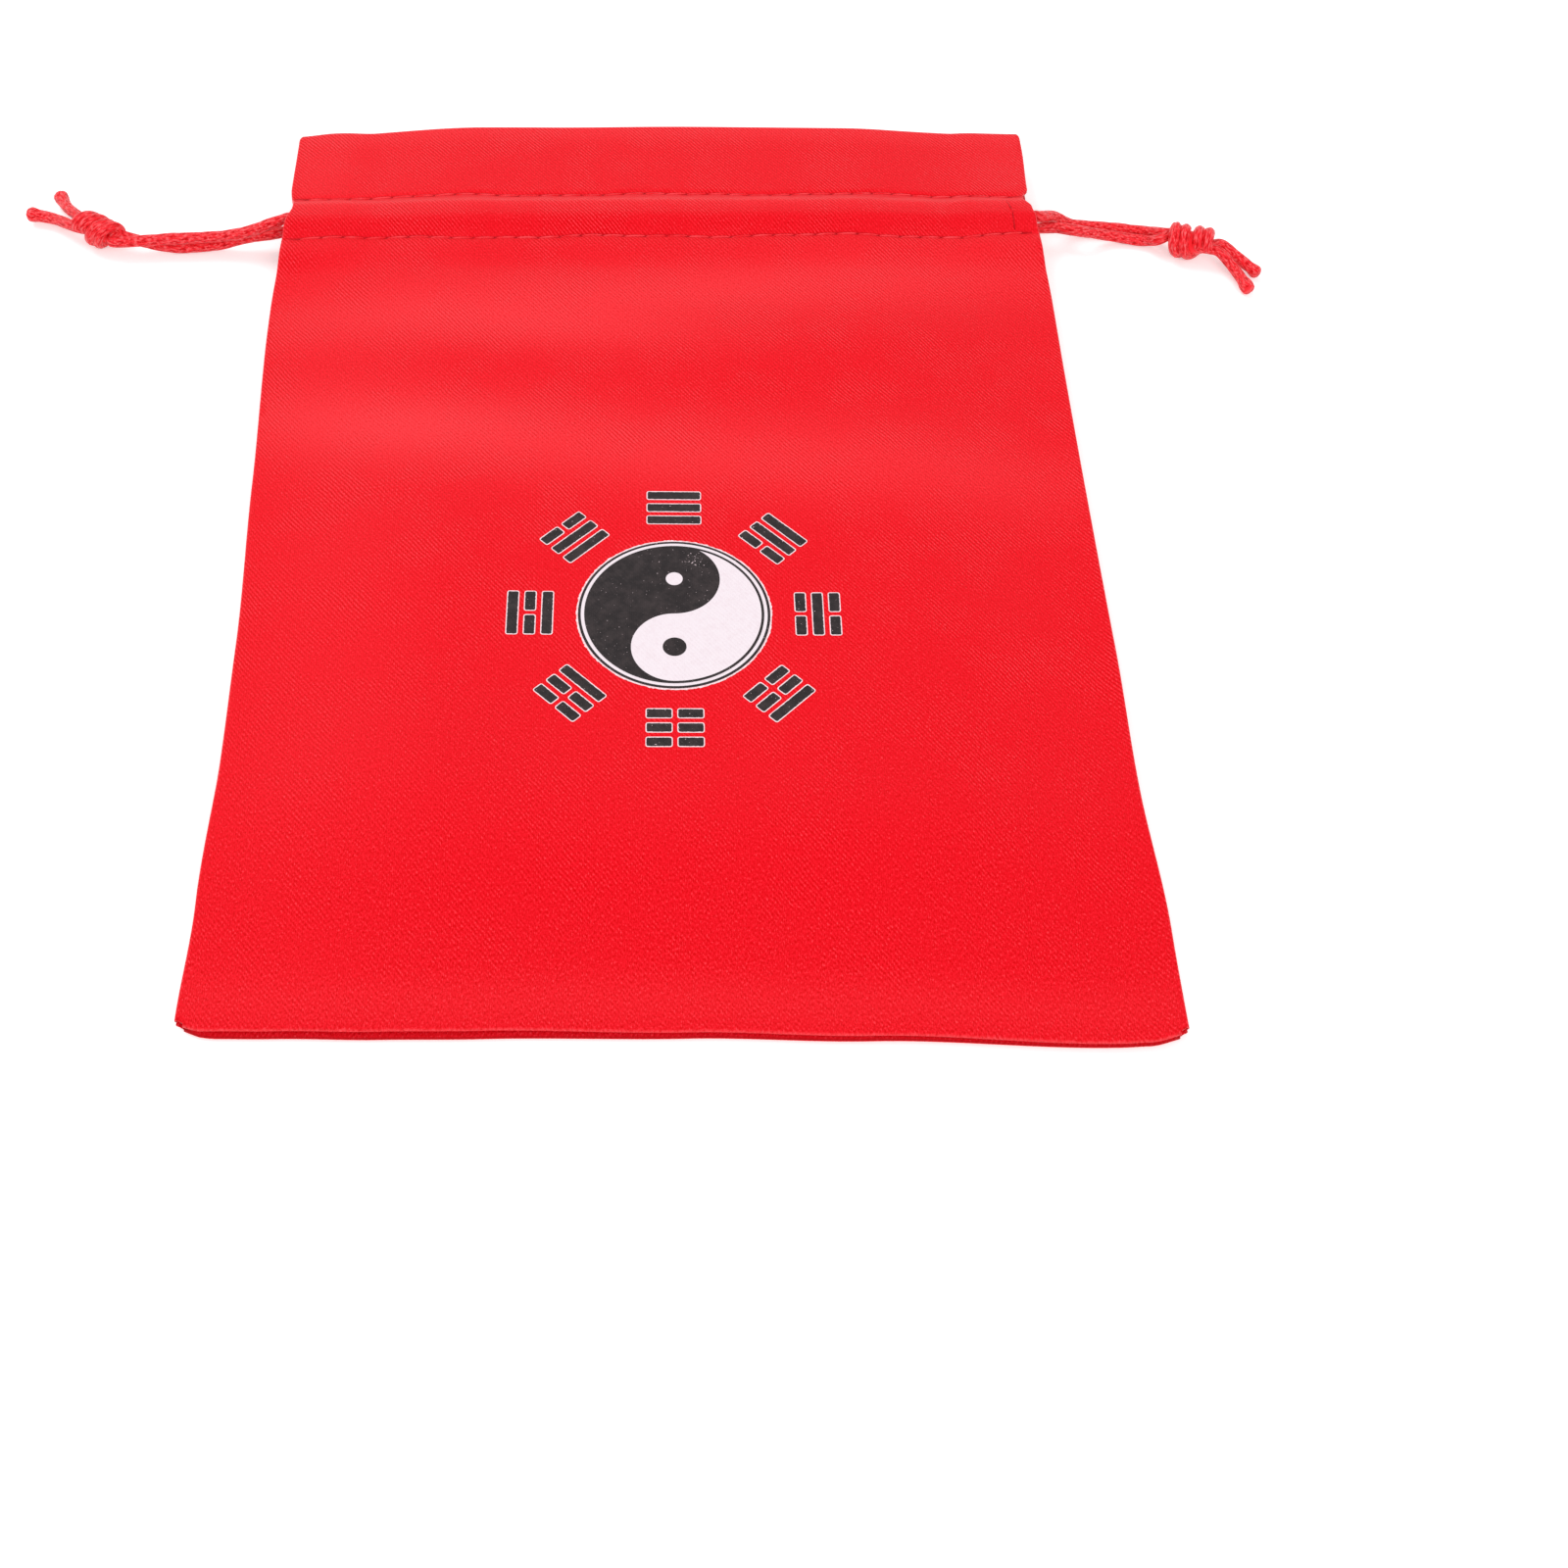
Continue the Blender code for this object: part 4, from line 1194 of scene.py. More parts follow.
# %% The underbase, with its uneven edge
HALO_STEPS = 320
HALO_INSET = 0.0006
HALO_WANDER = 0.00016
HALO_FINE_SCALE = 2600
HALO_BROAD_SCALE = 900
HALO_BROAD_SHARE = 0.7
HALO_BROAD_PLACE = Vector((3, 1, 7))
ON_RIM = 1e-5

halo = round_film(HALO_RADIUS, steps=HALO_STEPS, inset=HALO_INSET)
for vertex in halo.data.vertices:
    radius = vertex.co.length
    broad = HALO_BROAD_SHARE * noise.noise(vertex.co * HALO_BROAD_SCALE + HALO_BROAD_PLACE)
    uneven = noise.noise(vertex.co * HALO_FINE_SCALE) + broad
    if radius > HALO_RADIUS - ON_RIM:
        vertex.co *= 1 + HALO_WANDER * uneven / radius

# %% The disc's stack of films, from the cloth up
disc_films = (
    ("disc_underbase", halo, 0),
    ("disc_outer_ring", round_film(OUTER_RING[1]), 1),
    ("disc_white_ring", round_film(OUTER_RING[0]), 2),
    ("disc_dark_field", round_film(FIELD_RADIUS), 3),
    ("disc_light_lobe", lobe_film(), 4),
    ("disc_light_eye", round_film(LIGHT_EYE_RADIUS, (0.0, DARK_HEAD_Y), 40), 4),
    ("disc_dark_eye", round_film(DARK_EYE_RADIUS, (0.0, LIGHT_HEAD_Y), 48), 5),
)
disc_pieces = {name: disc_film(film, name, layer) for name, film, layer in disc_films}
print("disc films:", list(disc_pieces))

# %% [markdown]
# ## Effects that several materials share
# The weave shows in the cloth and through the print alike, and the slow drift of tone shows in the cloth
# and the thread. Each is a node group, built once. A group takes its sizes as inputs and gives only masks
# and heights.


# %% Node helpers
def new_group(name, inputs, outputs):
    """A node group with a vector input, Place, float inputs (name, default) and float outputs."""
    group = bpy.data.node_groups.new(name, "ShaderNodeTree")
    group.interface.new_socket("Place", in_out="INPUT", socket_type="NodeSocketVector")
    for label, default in inputs:
        socket = group.interface.new_socket(label, in_out="INPUT", socket_type="NodeSocketFloat")
        socket.default_value = default
    for label in outputs:
        group.interface.new_socket(label, in_out="OUTPUT", socket_type="NodeSocketFloat")
    start = group.nodes.new("NodeGroupInput")
    end = group.nodes.new("NodeGroupOutput")
    return group, start, end


def add_node(tree, kind, links=(), **settings):
    """A node of a kind, with settings on it and (socket, source or value) pairs for its inputs."""
    node = tree.nodes.new(kind)
    for label, value in settings.items():
        setattr(node, label, value)
    for socket, source in links:
        if isinstance(source, bpy.types.NodeSocket):
            tree.links.new(source, node.inputs[socket])
        else:
            node.inputs[socket].default_value = source
    return node


def math_node(tree, operation, *values):
    """The result of a sum on numbers or sockets."""
    node = add_node(tree, "ShaderNodeMath", list(enumerate(values)), operation=operation)
    return node.outputs[0]


def noise_node(tree, place, scale, detail=2.0, roughness=0.5):
    links = [("Vector", place), ("Scale", scale), ("Detail", detail), ("Roughness", roughness)]
    return add_node(tree, "ShaderNodeTexNoise", links).outputs["Fac"]


def range_node(tree, value, low, high, to_low=0.0, to_high=1.0):
    links = [("Value", value), ("From Min", low), ("From Max", high), ("To Min", to_low), ("To Max", to_high)]
    return add_node(tree, "ShaderNodeMapRange", links).outputs["Result"]


def mix_colour(tree, share, first, second):
    """The first colour at share 0, the second at share 1."""
    node = add_node(tree, "ShaderNodeMix", data_type="RGBA")
    for socket, value in ((node.inputs[0], share), (node.inputs[6], first), (node.inputs[7], second)):
        if isinstance(value, bpy.types.NodeSocket):
            tree.links.new(value, socket)
        else:
            socket.default_value = value
    return node.outputs[2]


# %% [markdown]
# The satin is woven with its floats stepping one thread aside at each pass, which draws fine slanting
# lines. Threads and lines are waves over the UV map, whose unit is the metre. A little noise breaks them
# up, so that they never look ruled. Towards the pouch's bottom, and in patches elsewhere, single floats
# show as short upright ticks, which are a noise stretched along the pouch.

# %% Weave and drift groups
TWILL_PITCH = 0.00054
TWILL_TURN = math.radians(38)
TWILL_WOBBLE_SCALE = 260.0
TWILL_WOBBLE = 0.0005
TWILL_SHARE = 0.8
THREAD_PITCH = 0.00031
THREAD_SHARE = 0.20
PATCH_SIZE = 0.012
GRAIN_SCALE = 2600.0
GRAIN_HEIGHT = 1.6
TICK_SCALE = (7000.0, 2100.0, 1.0)
TICK_TURN = math.radians(-8)
DRIFT_SIZE = 0.04


def weave_group():
    """Lines is 0 between the twill lines and 1 on them; Ticks swaps them for short upright floats."""
    inputs = (("Twill Pitch", TWILL_PITCH), ("Patch Size", PATCH_SIZE), ("Ticks", 0.0))
    group, start, end = new_group("weave", inputs, ("Height", "Lines", "Grain"))
    place = start.outputs["Place"]
    parts = add_node(group, "ShaderNodeSeparateXYZ", [("Vector", place)])
    u, v = parts.outputs["X"], parts.outputs["Y"]
    across = math_node(group, "MULTIPLY", u, math.cos(TWILL_TURN))
    place_on = math_node(group, "MULTIPLY_ADD", v, math.sin(TWILL_TURN), across)
    wobble = noise_node(group, place, TWILL_WOBBLE_SCALE, 2.0, 0.6)
    place_on = math_node(group, "MULTIPLY_ADD", wobble, TWILL_WOBBLE, place_on)
    turns = math_node(group, "DIVIDE", place_on, start.outputs["Twill Pitch"])
    wave = math_node(group, "SINE", math_node(group, "MULTIPLY", turns, 2 * math.pi))
    thread = math_node(group, "SINE", math_node(group, "MULTIPLY", u, 2 * math.pi / THREAD_PITCH))
    patch_scale = math_node(group, "DIVIDE", 1.0, start.outputs["Patch Size"])
    patch = range_node(group, noise_node(group, place, patch_scale, 2.0, 0.55), 0.38, 0.62, 0.35, 1.0)
    grain = noise_node(group, place, GRAIN_SCALE, 2.0, 0.75)
    twill = math_node(group, "MULTIPLY", math_node(group, "MULTIPLY", wave, patch), TWILL_SHARE)
    twill = math_node(group, "MULTIPLY_ADD", thread, THREAD_SHARE, twill)
    links = [("Vector", place), ("Rotation", (0.0, 0.0, TICK_TURN)), ("Scale", TICK_SCALE)]
    floats = noise_node(group, add_node(group, "ShaderNodeMapping", links).outputs["Vector"], 1.0, 1.0, 0.5)
    ticks = range_node(group, floats, 0.32, 0.68, -1.0, 1.0)
    links = [(0, start.outputs["Ticks"]), (2, twill), (3, ticks)]
    lines = add_node(group, "ShaderNodeMix", links, data_type="FLOAT").outputs[0]
    height = math_node(group, "MULTIPLY_ADD", grain, GRAIN_HEIGHT, lines)
    group.links.new(height, end.inputs["Height"])
    group.links.new(math_node(group, "MULTIPLY_ADD", lines, 0.5, 0.5), end.inputs["Lines"])
    group.links.new(range_node(group, grain, 0.25, 0.75), end.inputs["Grain"])
    return group


def drift_group():
    """Fac drifts slowly between 0 and 1, over patches of a size."""
    group, start, end = new_group("drift", (("Size", DRIFT_SIZE),), ("Fac",))
    scale = math_node(group, "DIVIDE", 1.0, start.outputs["Size"])
    fac = noise_node(group, start.outputs["Place"], scale, 2.0, 0.5)
    group.links.new(range_node(group, fac, 0.32, 0.68), end.inputs["Fac"])
    return group


WEAVE = weave_group()
DRIFT = drift_group()
print("groups:", WEAVE.name, "and", DRIFT.name)


# %% Material helpers
def new_material(name, roughness):
    """A material, its node tree and its shader."""
    material = bpy.data.materials.new(name)
    material.use_nodes = True
    shader = material.node_tree.nodes["Principled BSDF"]
    shader.inputs["Roughness"].default_value = roughness
    return material, material.node_tree, shader


def uv_place(tree):
    return add_node(tree, "ShaderNodeUVMap", uv_map="metres").outputs["UV"]


def object_place(tree):
    return add_node(tree, "ShaderNodeTexCoord").outputs["Object"]


def group_node(tree, group, place, **values):
    """A node group in use; values set its inputs by name."""
    node = add_node(tree, "ShaderNodeGroup", node_tree=group)
    tree.links.new(place, node.inputs["Place"])
    for label, value in values.items():
        node.inputs[label].default_value = value
    return node


def bump_into(tree, shader, height, distance):
    """Heights become small bumps in a shader's surface."""
    links = [("Height", height), ("Distance", distance), ("Strength", 1.0)]
    bump = add_node(tree, "ShaderNodeBump", links)
    tree.links.new(bump.outputs["Normal"], shader.inputs["Normal"])


# %% [markdown]
# ## Satin
# Satin is bright because long floats of thread lie side by side and throw back the light. It is one strong
# red, deeper between the twill lines, with small painted glints. A painted highlight lightens the colour in
# broad bands, a sheen painted where the floats would catch the light. Each fold has a thin painted highlight
# along its crest, with painted shade in the groove beside it. Painted shade also darkens the crease under
# each row of stitches.

# %% Satin material
# Painted light in the satin's colour: glints, sheen bands, fold highlights, and shade in creases and fold
# grooves.
RED_CREST = (1.0, 0.0110, 0.0270, 1.0)
RED_TROUGH = (0.64, 0.0003, 0.0015, 1.0)
RED_PAINTED_SHEEN = (1.0, 0.0560, 0.0680, 1.0)
RED_PAINTED_GLINT = (1.0, 0.1100, 0.1300, 1.0)
RED_PAINTED_SHADE = (0.34, 0.0010, 0.0030, 1.0)
RED_PAINTED_FOLD_HIGHLIGHT = (1.0, 0.0900, 0.1050, 1.0)
GLOSS_TINT = (1.0, 0.08, 0.11, 1.0)
PAINTED_SHADE_HALF = 0.00028
TICKS_FROM = 0.090
TICKS_TO = 0.015
TICKS_BELOW = 0.50
TICKS_IN_PATCHES = 0.20
TICK_PATCH = 0.020
PAINTED_GLINTS = 0.55
PAINTED_SHEEN_SHARE = 0.5
FOLD_LIGHT_AND_SHADE = 0.9
SATIN_BUMP = 0.00003


def red_gloss(shader, level, sheen):
    """Dyed fibres throw back red light, so gloss and sheen are tinted."""
    shader.inputs["Specular IOR Level"].default_value = level
    shader.inputs["Specular Tint"].default_value = GLOSS_TINT
    shader.inputs["Sheen Weight"].default_value = sheen
    shader.inputs["Sheen Roughness"].default_value = 0.4
    shader.inputs["Sheen Tint"].default_value = GLOSS_TINT


def marked(tree, name):
    """A number that was written on the mesh's points."""
    return add_node(tree, "ShaderNodeAttribute", attribute_name=name).outputs["Fac"]


def painted_groove_shade(tree):
    """1 where painted shade darkens the thin crease under each row of stitches, deeper where the needle went
    in.
    """
    off = marked(tree, "from_stitches")
    number = marked(tree, "stitch_number")
    near = math_node(tree, "DIVIDE", off, PAINTED_SHADE_HALF)
    near_squared = math_node(tree, "MULTIPLY", near, near)
    fall = math_node(tree, "EXPONENT", math_node(tree, "MULTIPLY", near_squared, -1.0))
    needle = math_node(tree, "COSINE", math_node(tree, "MULTIPLY", number, 2 * math.pi))
    needle = range_node(tree, needle, 0.0, 1.0, 0.65, 1.0)
    return math_node(tree, "MULTIPLY", fall, needle)


def satin_material():
    material, tree, shader = new_material("satin", 0.44)
    red_gloss(shader, 0.32, 0.04)
    place = uv_place(tree)
    weave = group_node(tree, WEAVE, place)
    parts = add_node(tree, "ShaderNodeSeparateXYZ", [("Vector", place)])
    patchy = group_node(tree, DRIFT, place, Size=TICK_PATCH).outputs["Fac"]
    low = range_node(tree, parts.outputs["Y"], TICKS_FROM, TICKS_TO)
    low = math_node(tree, "MULTIPLY", low, TICKS_BELOW)
    ticks = math_node(tree, "MULTIPLY_ADD", patchy, TICKS_IN_PATCHES, low)
    tree.links.new(ticks, weave.inputs["Ticks"])
    grain = weave.outputs["Grain"]
    share = math_node(tree, "MULTIPLY_ADD", weave.outputs["Lines"], 1.00, -0.40)
    share = math_node(tree, "MULTIPLY_ADD", grain, 0.70, share)
    colour = mix_colour(tree, share, RED_TROUGH, RED_CREST)
    # Painted glints: the weave's lightest places are mixed towards a pale pink painted glint.
    colour = mix_colour(tree, range_node(tree, share, 0.66, 1.16, 0.0, PAINTED_GLINTS), colour, RED_PAINTED_GLINT)
    # Painted sheen: broad bands where the satin's colour is lightened towards a pale pink painted highlight.
    painted_sheen = math_node(tree, "MULTIPLY", marked(tree, "painted_sheen"), PAINTED_SHEEN_SHARE)
    painted_sheen = math_node(tree, "MULTIPLY", painted_sheen, range_node(tree, share, 0.0, 1.0, 0.35, 1.55))
    colour = mix_colour(tree, painted_sheen, colour, RED_PAINTED_SHEEN)
    # Folds: a painted highlight along each fold's crest, and painted shade in the groove on its inner side.
    fold = marked(tree, "on_fold")
    fold_highlight = range_node(tree, fold, 0.0, 1.0, 0.0, FOLD_LIGHT_AND_SHADE)
    colour = mix_colour(tree, math_node(tree, "MULTIPLY", fold_highlight, grain), colour, RED_PAINTED_FOLD_HIGHLIGHT)
    colour = mix_colour(tree, range_node(tree, fold, 0.0, -1.0, 0.0, FOLD_LIGHT_AND_SHADE), colour, RED_PAINTED_SHADE)
    # Painted shade in the thin crease under each row of stitches.
    colour = mix_colour(tree, painted_groove_shade(tree), colour, RED_PAINTED_SHADE)
    tree.links.new(colour, shader.inputs["Base Color"])
    rough = range_node(tree, weave.outputs["Lines"], 0.0, 1.0, 0.52, 0.40)
    tree.links.new(rough, shader.inputs["Roughness"])
    bump_into(tree, shader, weave.outputs["Height"], SATIN_BUMP)
    return material


# %% [markdown]
# ## Cord and thread
# The cord's braid is in its mesh. The material adds the fine filaments inside each carrier, as slanted
# hair-fine waves that follow the tube, and paints shade into the hollows between carriers. Small flecks, dark
# and bright, stand for the floats that turn away from the light or catch it. The short upright row of
# stitches is pulled deep into the cloth, so painted shade darkens its thread.

# %% Cord and thread materials
CORD_LIGHT = (1.0, 0.024, 0.034, 1.0)
CORD_PAINTED_HOLLOW_SHADE = (0.78, 0.003, 0.007, 1.0)
CORD_SHADE = (0.42, 0.001, 0.003, 1.0)
CORD_GLINT = (1.0, 0.150, 0.160, 1.0)
FLECK_SCALE = (3600.0, 1300.0, 1.0)
THREAD_RED = (0.90, 0.012, 0.020, 1.0)
THREAD_GLINT = (1.0, 0.080, 0.095, 1.0)
FILAMENTS = 4.0
CORD_GRAIN_SCALE = 4200.0
CORD_BUMP = 0.00004
THREAD_DRIFT = 0.002
THREAD_TWIST = 0.00035
THREAD_BUMP = 0.00003


def cord_material():
    """Follows the braid of the mesh: u runs round the tube and v along it, both in metres."""
    material, tree, shader = new_material("braided_satin_cord", 0.30)
    red_gloss(shader, 0.8, 0.08)
    parts = add_node(tree, "ShaderNodeSeparateXYZ", [("Vector", uv_place(tree))])
    u, v = parts.outputs["X"], parts.outputs["Y"]
    round_phase = math_node(tree, "MULTIPLY", u, BRAID_CARRIERS / CORD_RADIUS)
    along_phase = math_node(tree, "MULTIPLY", v, 2 * math.pi / BRAID_LENGTH)
    over = math_node(tree, "COSINE", math_node(tree, "ADD", round_phase, along_phase))
    under = math_node(tree, "COSINE", math_node(tree, "SUBTRACT", round_phase, along_phase))
    which = math_node(tree, "GREATER_THAN", over, under)
    top = math_node(tree, "MAXIMUM", over, under)
    fine_round = math_node(tree, "MULTIPLY", round_phase, FILAMENTS)
    fine_along = math_node(tree, "MULTIPLY", along_phase, FILAMENTS)
    one = math_node(tree, "SINE", math_node(tree, "SUBTRACT", fine_round, fine_along))
    other = math_node(tree, "SINE", math_node(tree, "ADD", fine_round, fine_along))
    links = [(0, which), (2, other), (3, one)]
    filaments = add_node(tree, "ShaderNodeMix", links, data_type="FLOAT").outputs[0]
    grain = noise_node(tree, uv_place(tree), CORD_GRAIN_SCALE, 2.0, 0.6)
    height = math_node(tree, "MULTIPLY_ADD", grain, 1.2, math_node(tree, "MULTIPLY", filaments, 0.5))
    height = math_node(tree, "ADD", height, top)
    # Painted shade: the hollows between carriers are mixed towards a deeper red.
    out_of_hollow_shade = range_node(tree, top, -0.35, 0.75)
    colour = mix_colour(tree, out_of_hollow_shade, CORD_PAINTED_HOLLOW_SHADE, CORD_LIGHT)
    links = [("Vector", uv_place(tree)), ("Scale", FLECK_SCALE)]
    flecks = noise_node(tree, add_node(tree, "ShaderNodeMapping", links).outputs["Vector"], 1.0, 2.0, 0.6)
    colour = mix_colour(tree, range_node(tree, flecks, 0.45, 0.33, 0.0, 0.7), colour, CORD_SHADE)
    colour = mix_colour(tree, range_node(tree, flecks, 0.50, 0.64, 0.0, 1.0), colour, CORD_GLINT)
    tree.links.new(colour, shader.inputs["Base Color"])
    bump_into(tree, shader, height, CORD_BUMP)
    return material


def thread_material(name, deep, light):
    """Twisted sewing thread, between a deep and a light tone."""
    material, tree, shader = new_material(name, 0.35)
    red_gloss(shader, 0.6, 0.1)
    place = object_place(tree)
    tone = group_node(tree, DRIFT, place, Size=THREAD_DRIFT)
    colour = mix_colour(tree, tone.outputs["Fac"], deep, light)
    tree.links.new(colour, shader.inputs["Base Color"])
    parts = add_node(tree, "ShaderNodeSeparateXYZ", [("Vector", place)])
    slanted = math_node(tree, "ADD", parts.outputs["X"], parts.outputs["Y"])
    twist = math_node(tree, "SINE", math_node(tree, "MULTIPLY", slanted, 2 * math.pi / THREAD_TWIST))
    bump_into(tree, shader, twist, THREAD_BUMP)
    return material


# %% [markdown]
# ## Printing ink
# The films are thin, so the weave presses through them as a faint grain, and the ink has pinholes and
# scuffs where it cracked over the threads. At the edge of a bar the black gives way to the pale underbase.

# %% Ink materials
INK_BLACK = (0.013, 0.0085, 0.0095, 1.0)
INK_GREY = (0.034, 0.024, 0.025, 1.0)
INK_WHITE = (0.86, 0.76, 0.81, 1.0)
WORN_WHITE = (0.78, 0.64, 0.69, 1.0)
UNDERBASE = (0.96, 0.76, 0.80, 1.0)
WORN_UNDERBASE = (0.80, 0.12, 0.14, 1.0)
INK_BUMP = 0.000012
CHIPPED_PLACE = (0.0026, -0.0134, 0.0080)
CHIPPED_REACH = 0.0022
CHIPPED_MORE = 0.16
PINHOLE_SCALE = 3000.0
PINHOLES = 0.7
FRAY_SCALE = 2600.0
FRAY = 0.9


def ink_bump(tree, shader):
    """The weave presses through a film; its node is given back."""
    weave = group_node(tree, WEAVE, object_place(tree))
    bump_into(tree, shader, weave.outputs["Height"], INK_BUMP)
    return weave


def black_ink_material(name, frayed):
    """Black ink with pinholes, more of them at the one chipped place; a bar's edge is frayed too."""
    material, tree, shader = new_material(name, 0.5)
    shader.inputs["Specular IOR Level"].default_value = 0.22
    weave = ink_bump(tree, shader)
    place = object_place(tree)
    tone = noise_node(tree, place, 700.0, 3.0, 0.6)
    colour = mix_colour(tree, range_node(tree, tone, 0.4, 0.7), INK_BLACK, INK_GREY)
    away = add_node(tree, "ShaderNodeVectorMath", [(0, place), (1, CHIPPED_PLACE)], operation="DISTANCE")
    chipped = range_node(tree, away.outputs["Value"], CHIPPED_REACH, 0.0, 0.0, CHIPPED_MORE)
    crack = math_node(tree, "ADD", noise_node(tree, place, PINHOLE_SCALE, 2.0, 0.6), chipped)
    holes = range_node(tree, crack, 0.70, 0.73)
    holes = math_node(tree, "MULTIPLY", holes, range_node(tree, weave.outputs["Lines"], 0.1, 0.6))
    colour = mix_colour(tree, math_node(tree, "MULTIPLY", holes, PINHOLES), colour, UNDERBASE)
    if frayed:
        fray = noise_node(tree, place, FRAY_SCALE, 3.0, 0.65)
        fray = math_node(tree, "SUBTRACT", fray, 0.5)
        inside = math_node(tree, "MULTIPLY_ADD", fray, FRAY, marked(tree, "inside_edge"))
        colour = mix_colour(tree, range_node(tree, inside, 0.48, 0.66), UNDERBASE, colour)
    tree.links.new(colour, shader.inputs["Base Color"])
    return material


def pale_ink_material(name, light, deep):
    """White ink or the underbase, worn thin in small patches and between the twill lines."""
    material, tree, shader = new_material(name, 0.5)
    weave = ink_bump(tree, shader)
    place = object_place(tree)
    tone = noise_node(tree, place, 1500.0, 3.0, 0.6)
    share = math_node(tree, "MULTIPLY", range_node(tree, tone, 0.45, 0.75), 0.5)
    between = range_node(tree, weave.outputs["Lines"], 0.35, 0.0)
    share = math_node(tree, "MULTIPLY_ADD", between, 0.25, share)
    colour = mix_colour(tree, share, light, deep)
    tree.links.new(colour, shader.inputs["Base Color"])
    return material


LOOKS = {
    "satin": satin_material(),
    "cord": cord_material(),
    "thread": thread_material("sewing_thread", THREAD_RED, THREAD_GLINT),
    # The short upright row's thread: painted shade mixed with the thread's red, for the shade where it sinks
    # into the cloth.
    "painted_shade_thread": thread_material("painted_shade_thread", RED_PAINTED_SHADE, THREAD_RED),
    "bar_ink": black_ink_material("black_ink_frayed", True),
    "black_ink": black_ink_material("black_ink", False),
    "white_ink": pale_ink_material("white_ink", INK_WHITE, WORN_WHITE),
    "underbase": pale_ink_material("pale_underbase", UNDERBASE, WORN_UNDERBASE),
}
print("materials:", list(LOOKS))

# %% [markdown]
# ## Dressing the pouch
# Every piece gets its finish, rides on the pouch's one body and stands for the solids that it replaces.


# %% Dressing
def dress(piece, look, slot_name, *nodes):
    """Gives a piece its finish and its place in the pouch."""
    piece.data.materials.clear()
    piece.data.materials.append(LOOKS[look])
    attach(piece, "root")
    if nodes:
        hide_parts(*nodes)


dress(front_cloth, "satin", "red_satin", "front_panel")
dress(back_cloth, "satin", "red_satin", "back_panel")
for piece in threads:
    dress(piece, "painted_shade_thread" if piece.name == "casing_end_stitches" else "thread", "red_cord")
for hand_name in FREE:
    dress(strands[hand_name, 0], "cord", "red_cord", f"{hand_name}_tail_1")
    dress(strands[hand_name, 1], "cord", "red_cord", f"{hand_name}_tail_2")
    dress(held_cords[hand_name], "cord", "red_cord", f"{hand_name}_drawcord")
    dress(knot_cores[hand_name], "cord", "red_cord", f"{hand_name}_knot")
for where, piece in trigrams.items():
    bars = [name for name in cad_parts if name.startswith(f"trigram_{where}_bar")]
    dress(piece, "bar_ink", "ink_black", *bars)
for name, piece in disc_pieces.items():
    if name == "disc_underbase":
        dress(piece, "underbase", "ink_white")
    elif name in ("disc_outer_ring", "disc_dark_field", "disc_dark_eye"):
        dress(piece, "black_ink", "ink_black", name)
    else:
        dress(piece, "white_ink", "ink_white", name)
print("threads dressed:", len(threads), "films:", len(trigrams) + len(disc_pieces))

for (hand_name, order), piece in strands.items():
    route = routes[hand_name, order]
print("cords declared:", len(strands))

# %% [markdown]
# ## Floor, backdrop and light
# A plain white floor runs far past the frame. It catches the pouch's soft shadow. To the camera it also
# glows a little, so it reads as white without any more light on the satin. The light is a wide soft lamp
# from the far left, a weaker one from near the right, and an even white sky.

# %% Floor and light
FLOOR_SIZE = 6.0
FLOOR_DROP = 0.0001
FLOOR_WHITE = 0.90
FLOOR_GLOW = 0.36
SKY = 0.68
SKY_SEEN = 1.0
KEY_PLACE = (-0.9, 0.7, 1.4)
KEY_SIZE = 0.9
KEY_POWER = 11.0
FILL_PLACE = (0.5, -1.2, 1.0)
FILL_SIZE = 0.8
FILL_POWER = 9.0


def seen_directly(tree):
    """1 for the camera's rays and for those of mirrors and glass, 0 for the light on the pouch."""
    path = tree.nodes.new("ShaderNodeLightPath")
    seen = math_node(tree, "MAXIMUM", path.outputs["Is Camera Ray"], path.outputs["Is Glossy Ray"])
    return math_node(tree, "MAXIMUM", seen, path.outputs["Is Transmission Ray"])


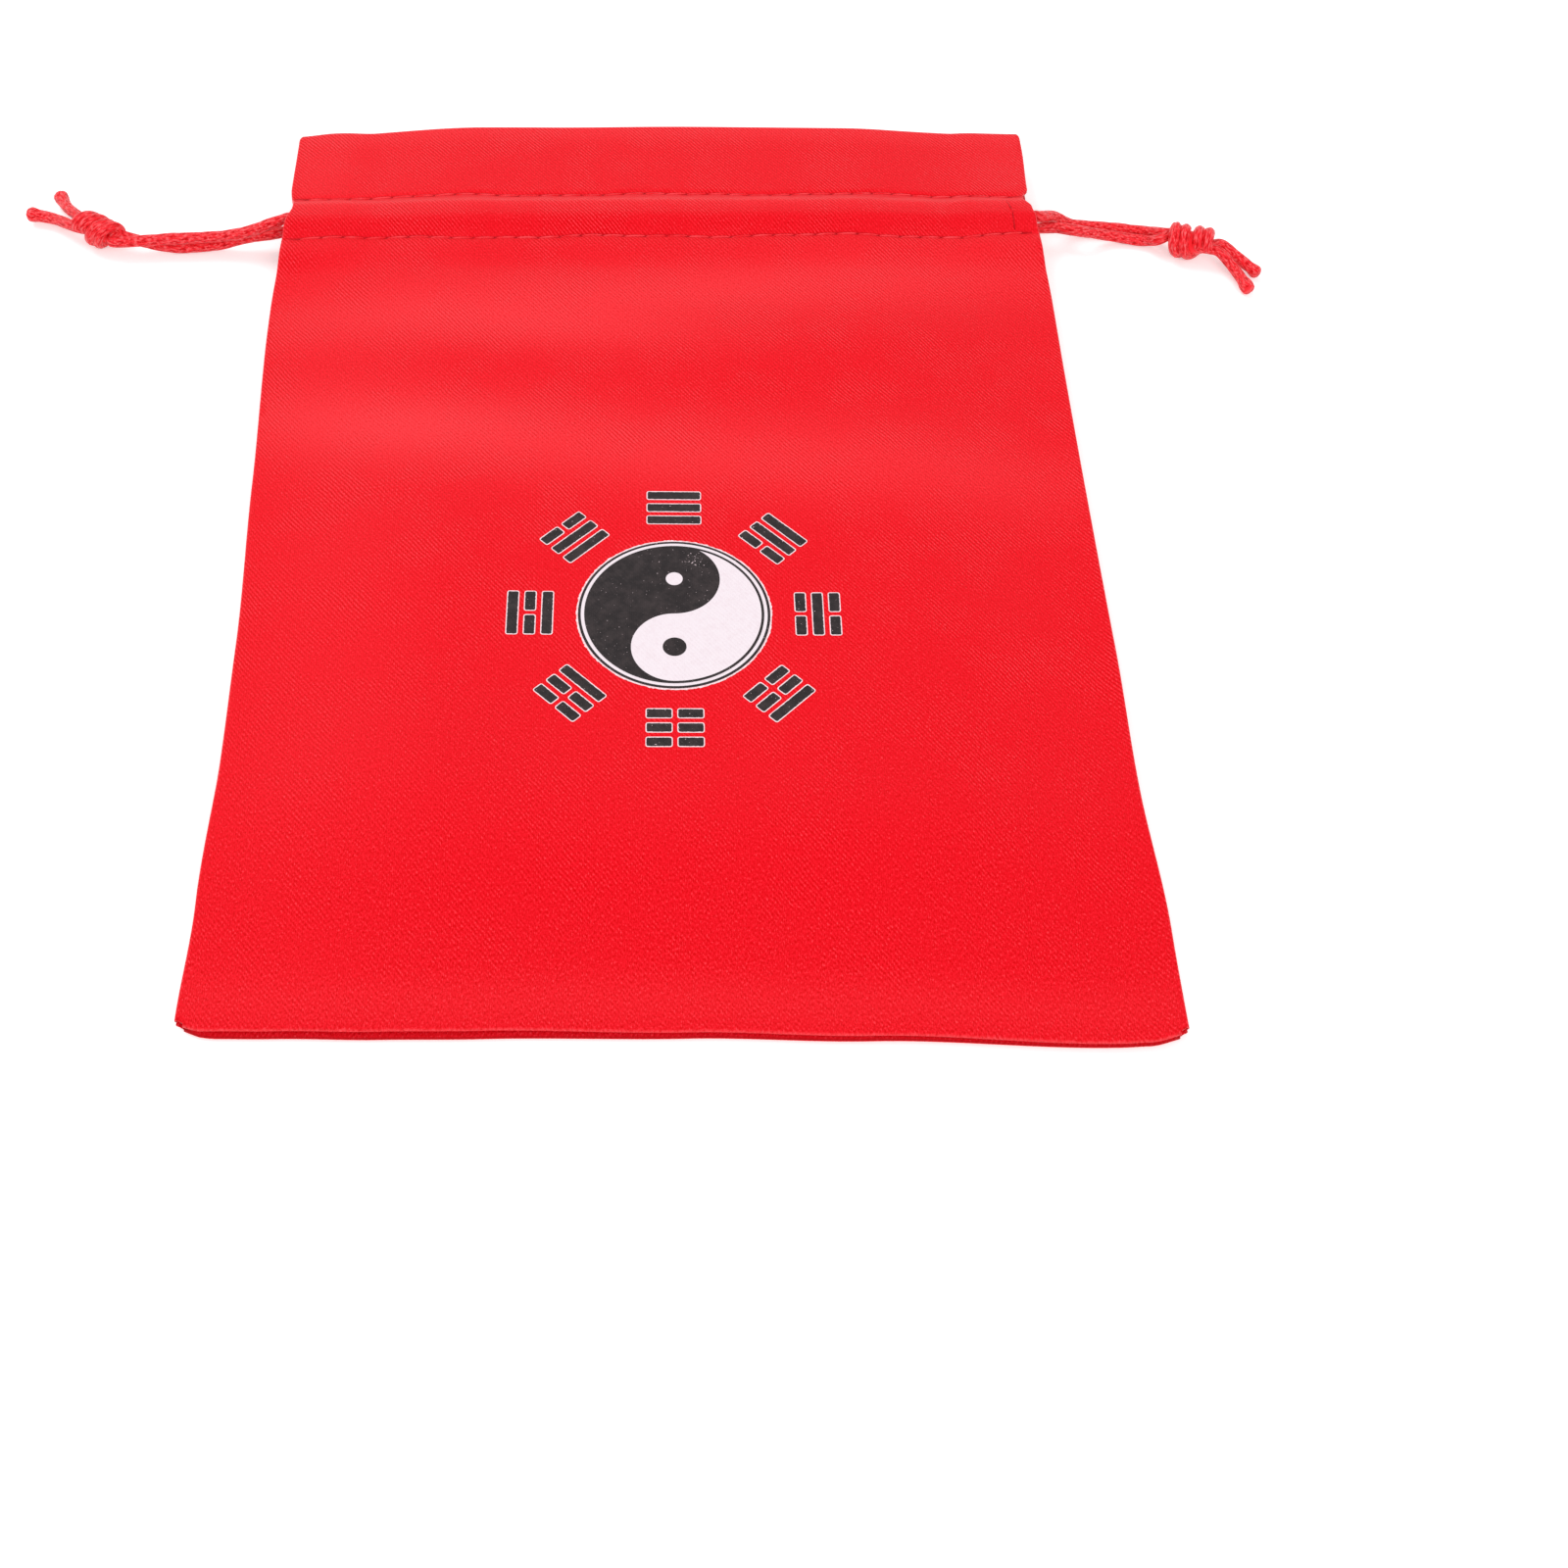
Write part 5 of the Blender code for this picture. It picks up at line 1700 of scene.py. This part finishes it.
def floor_material():
    """Plain white, with a glow that only the camera, mirrors and glass see."""
    material = bpy.data.materials.new("white_floor")
    material.use_nodes = True
    tree = material.node_tree
    tree.nodes.clear()
    end = tree.nodes.new("ShaderNodeOutputMaterial")
    white = (FLOOR_WHITE, FLOOR_WHITE, FLOOR_WHITE, 1.0)
    plain = add_node(tree, "ShaderNodeBsdfDiffuse", [("Color", white)])
    glow = add_node(tree, "ShaderNodeEmission", [("Color", (1.0, 1.0, 1.0, 1.0)), ("Strength", FLOOR_GLOW)])
    lit = add_node(tree, "ShaderNodeAddShader", [(0, plain.outputs[0]), (1, glow.outputs[0])])
    links = [(0, seen_directly(tree)), (1, plain.outputs[0]), (2, lit.outputs[0])]
    mixed = add_node(tree, "ShaderNodeMixShader", links)
    tree.links.new(mixed.outputs[0], end.inputs["Surface"])
    return material


deselect_all()
bpy.ops.mesh.primitive_plane_add(size=FLOOR_SIZE, location=(0, 0, -FLOOR_DROP))
floor = bpy.context.object
floor.name = "floor"
floor.data.materials.append(floor_material())

world = bpy.data.worlds.new("soft_sky")
bpy.context.scene.world = world
world.use_nodes = True
sky_tree = world.node_tree
sky = sky_tree.nodes["Background"]
sky.inputs["Color"].default_value = (1.0, 1.0, 1.0, 1.0)
strength = math_node(sky_tree, "MULTIPLY_ADD", seen_directly(sky_tree), SKY_SEEN - SKY, SKY)
sky_tree.links.new(strength, sky.inputs["Strength"])


# %% Lamps
def area_lamp(name, place, size, power):
    """A round lamp at a place, turned to the pouch's middle."""
    light = bpy.data.lights.new(name, "AREA")
    light.shape = "DISK"
    light.size = size
    light.energy = power
    lamp = bpy.data.objects.new(name, light)
    bpy.context.scene.collection.objects.link(lamp)
    away = Vector(place)
    lamp.matrix_world = Matrix.LocRotScale(away, away.to_track_quat("Z", "Y"), None)


area_lamp("key", KEY_PLACE, KEY_SIZE, KEY_POWER)
area_lamp("fill", FILL_PLACE, FILL_SIZE, FILL_POWER)

bpy.context.scene.view_settings.view_transform = "Standard"
print("lamps: key", KEY_POWER, "W, fill", FILL_POWER, "W; sky", SKY)
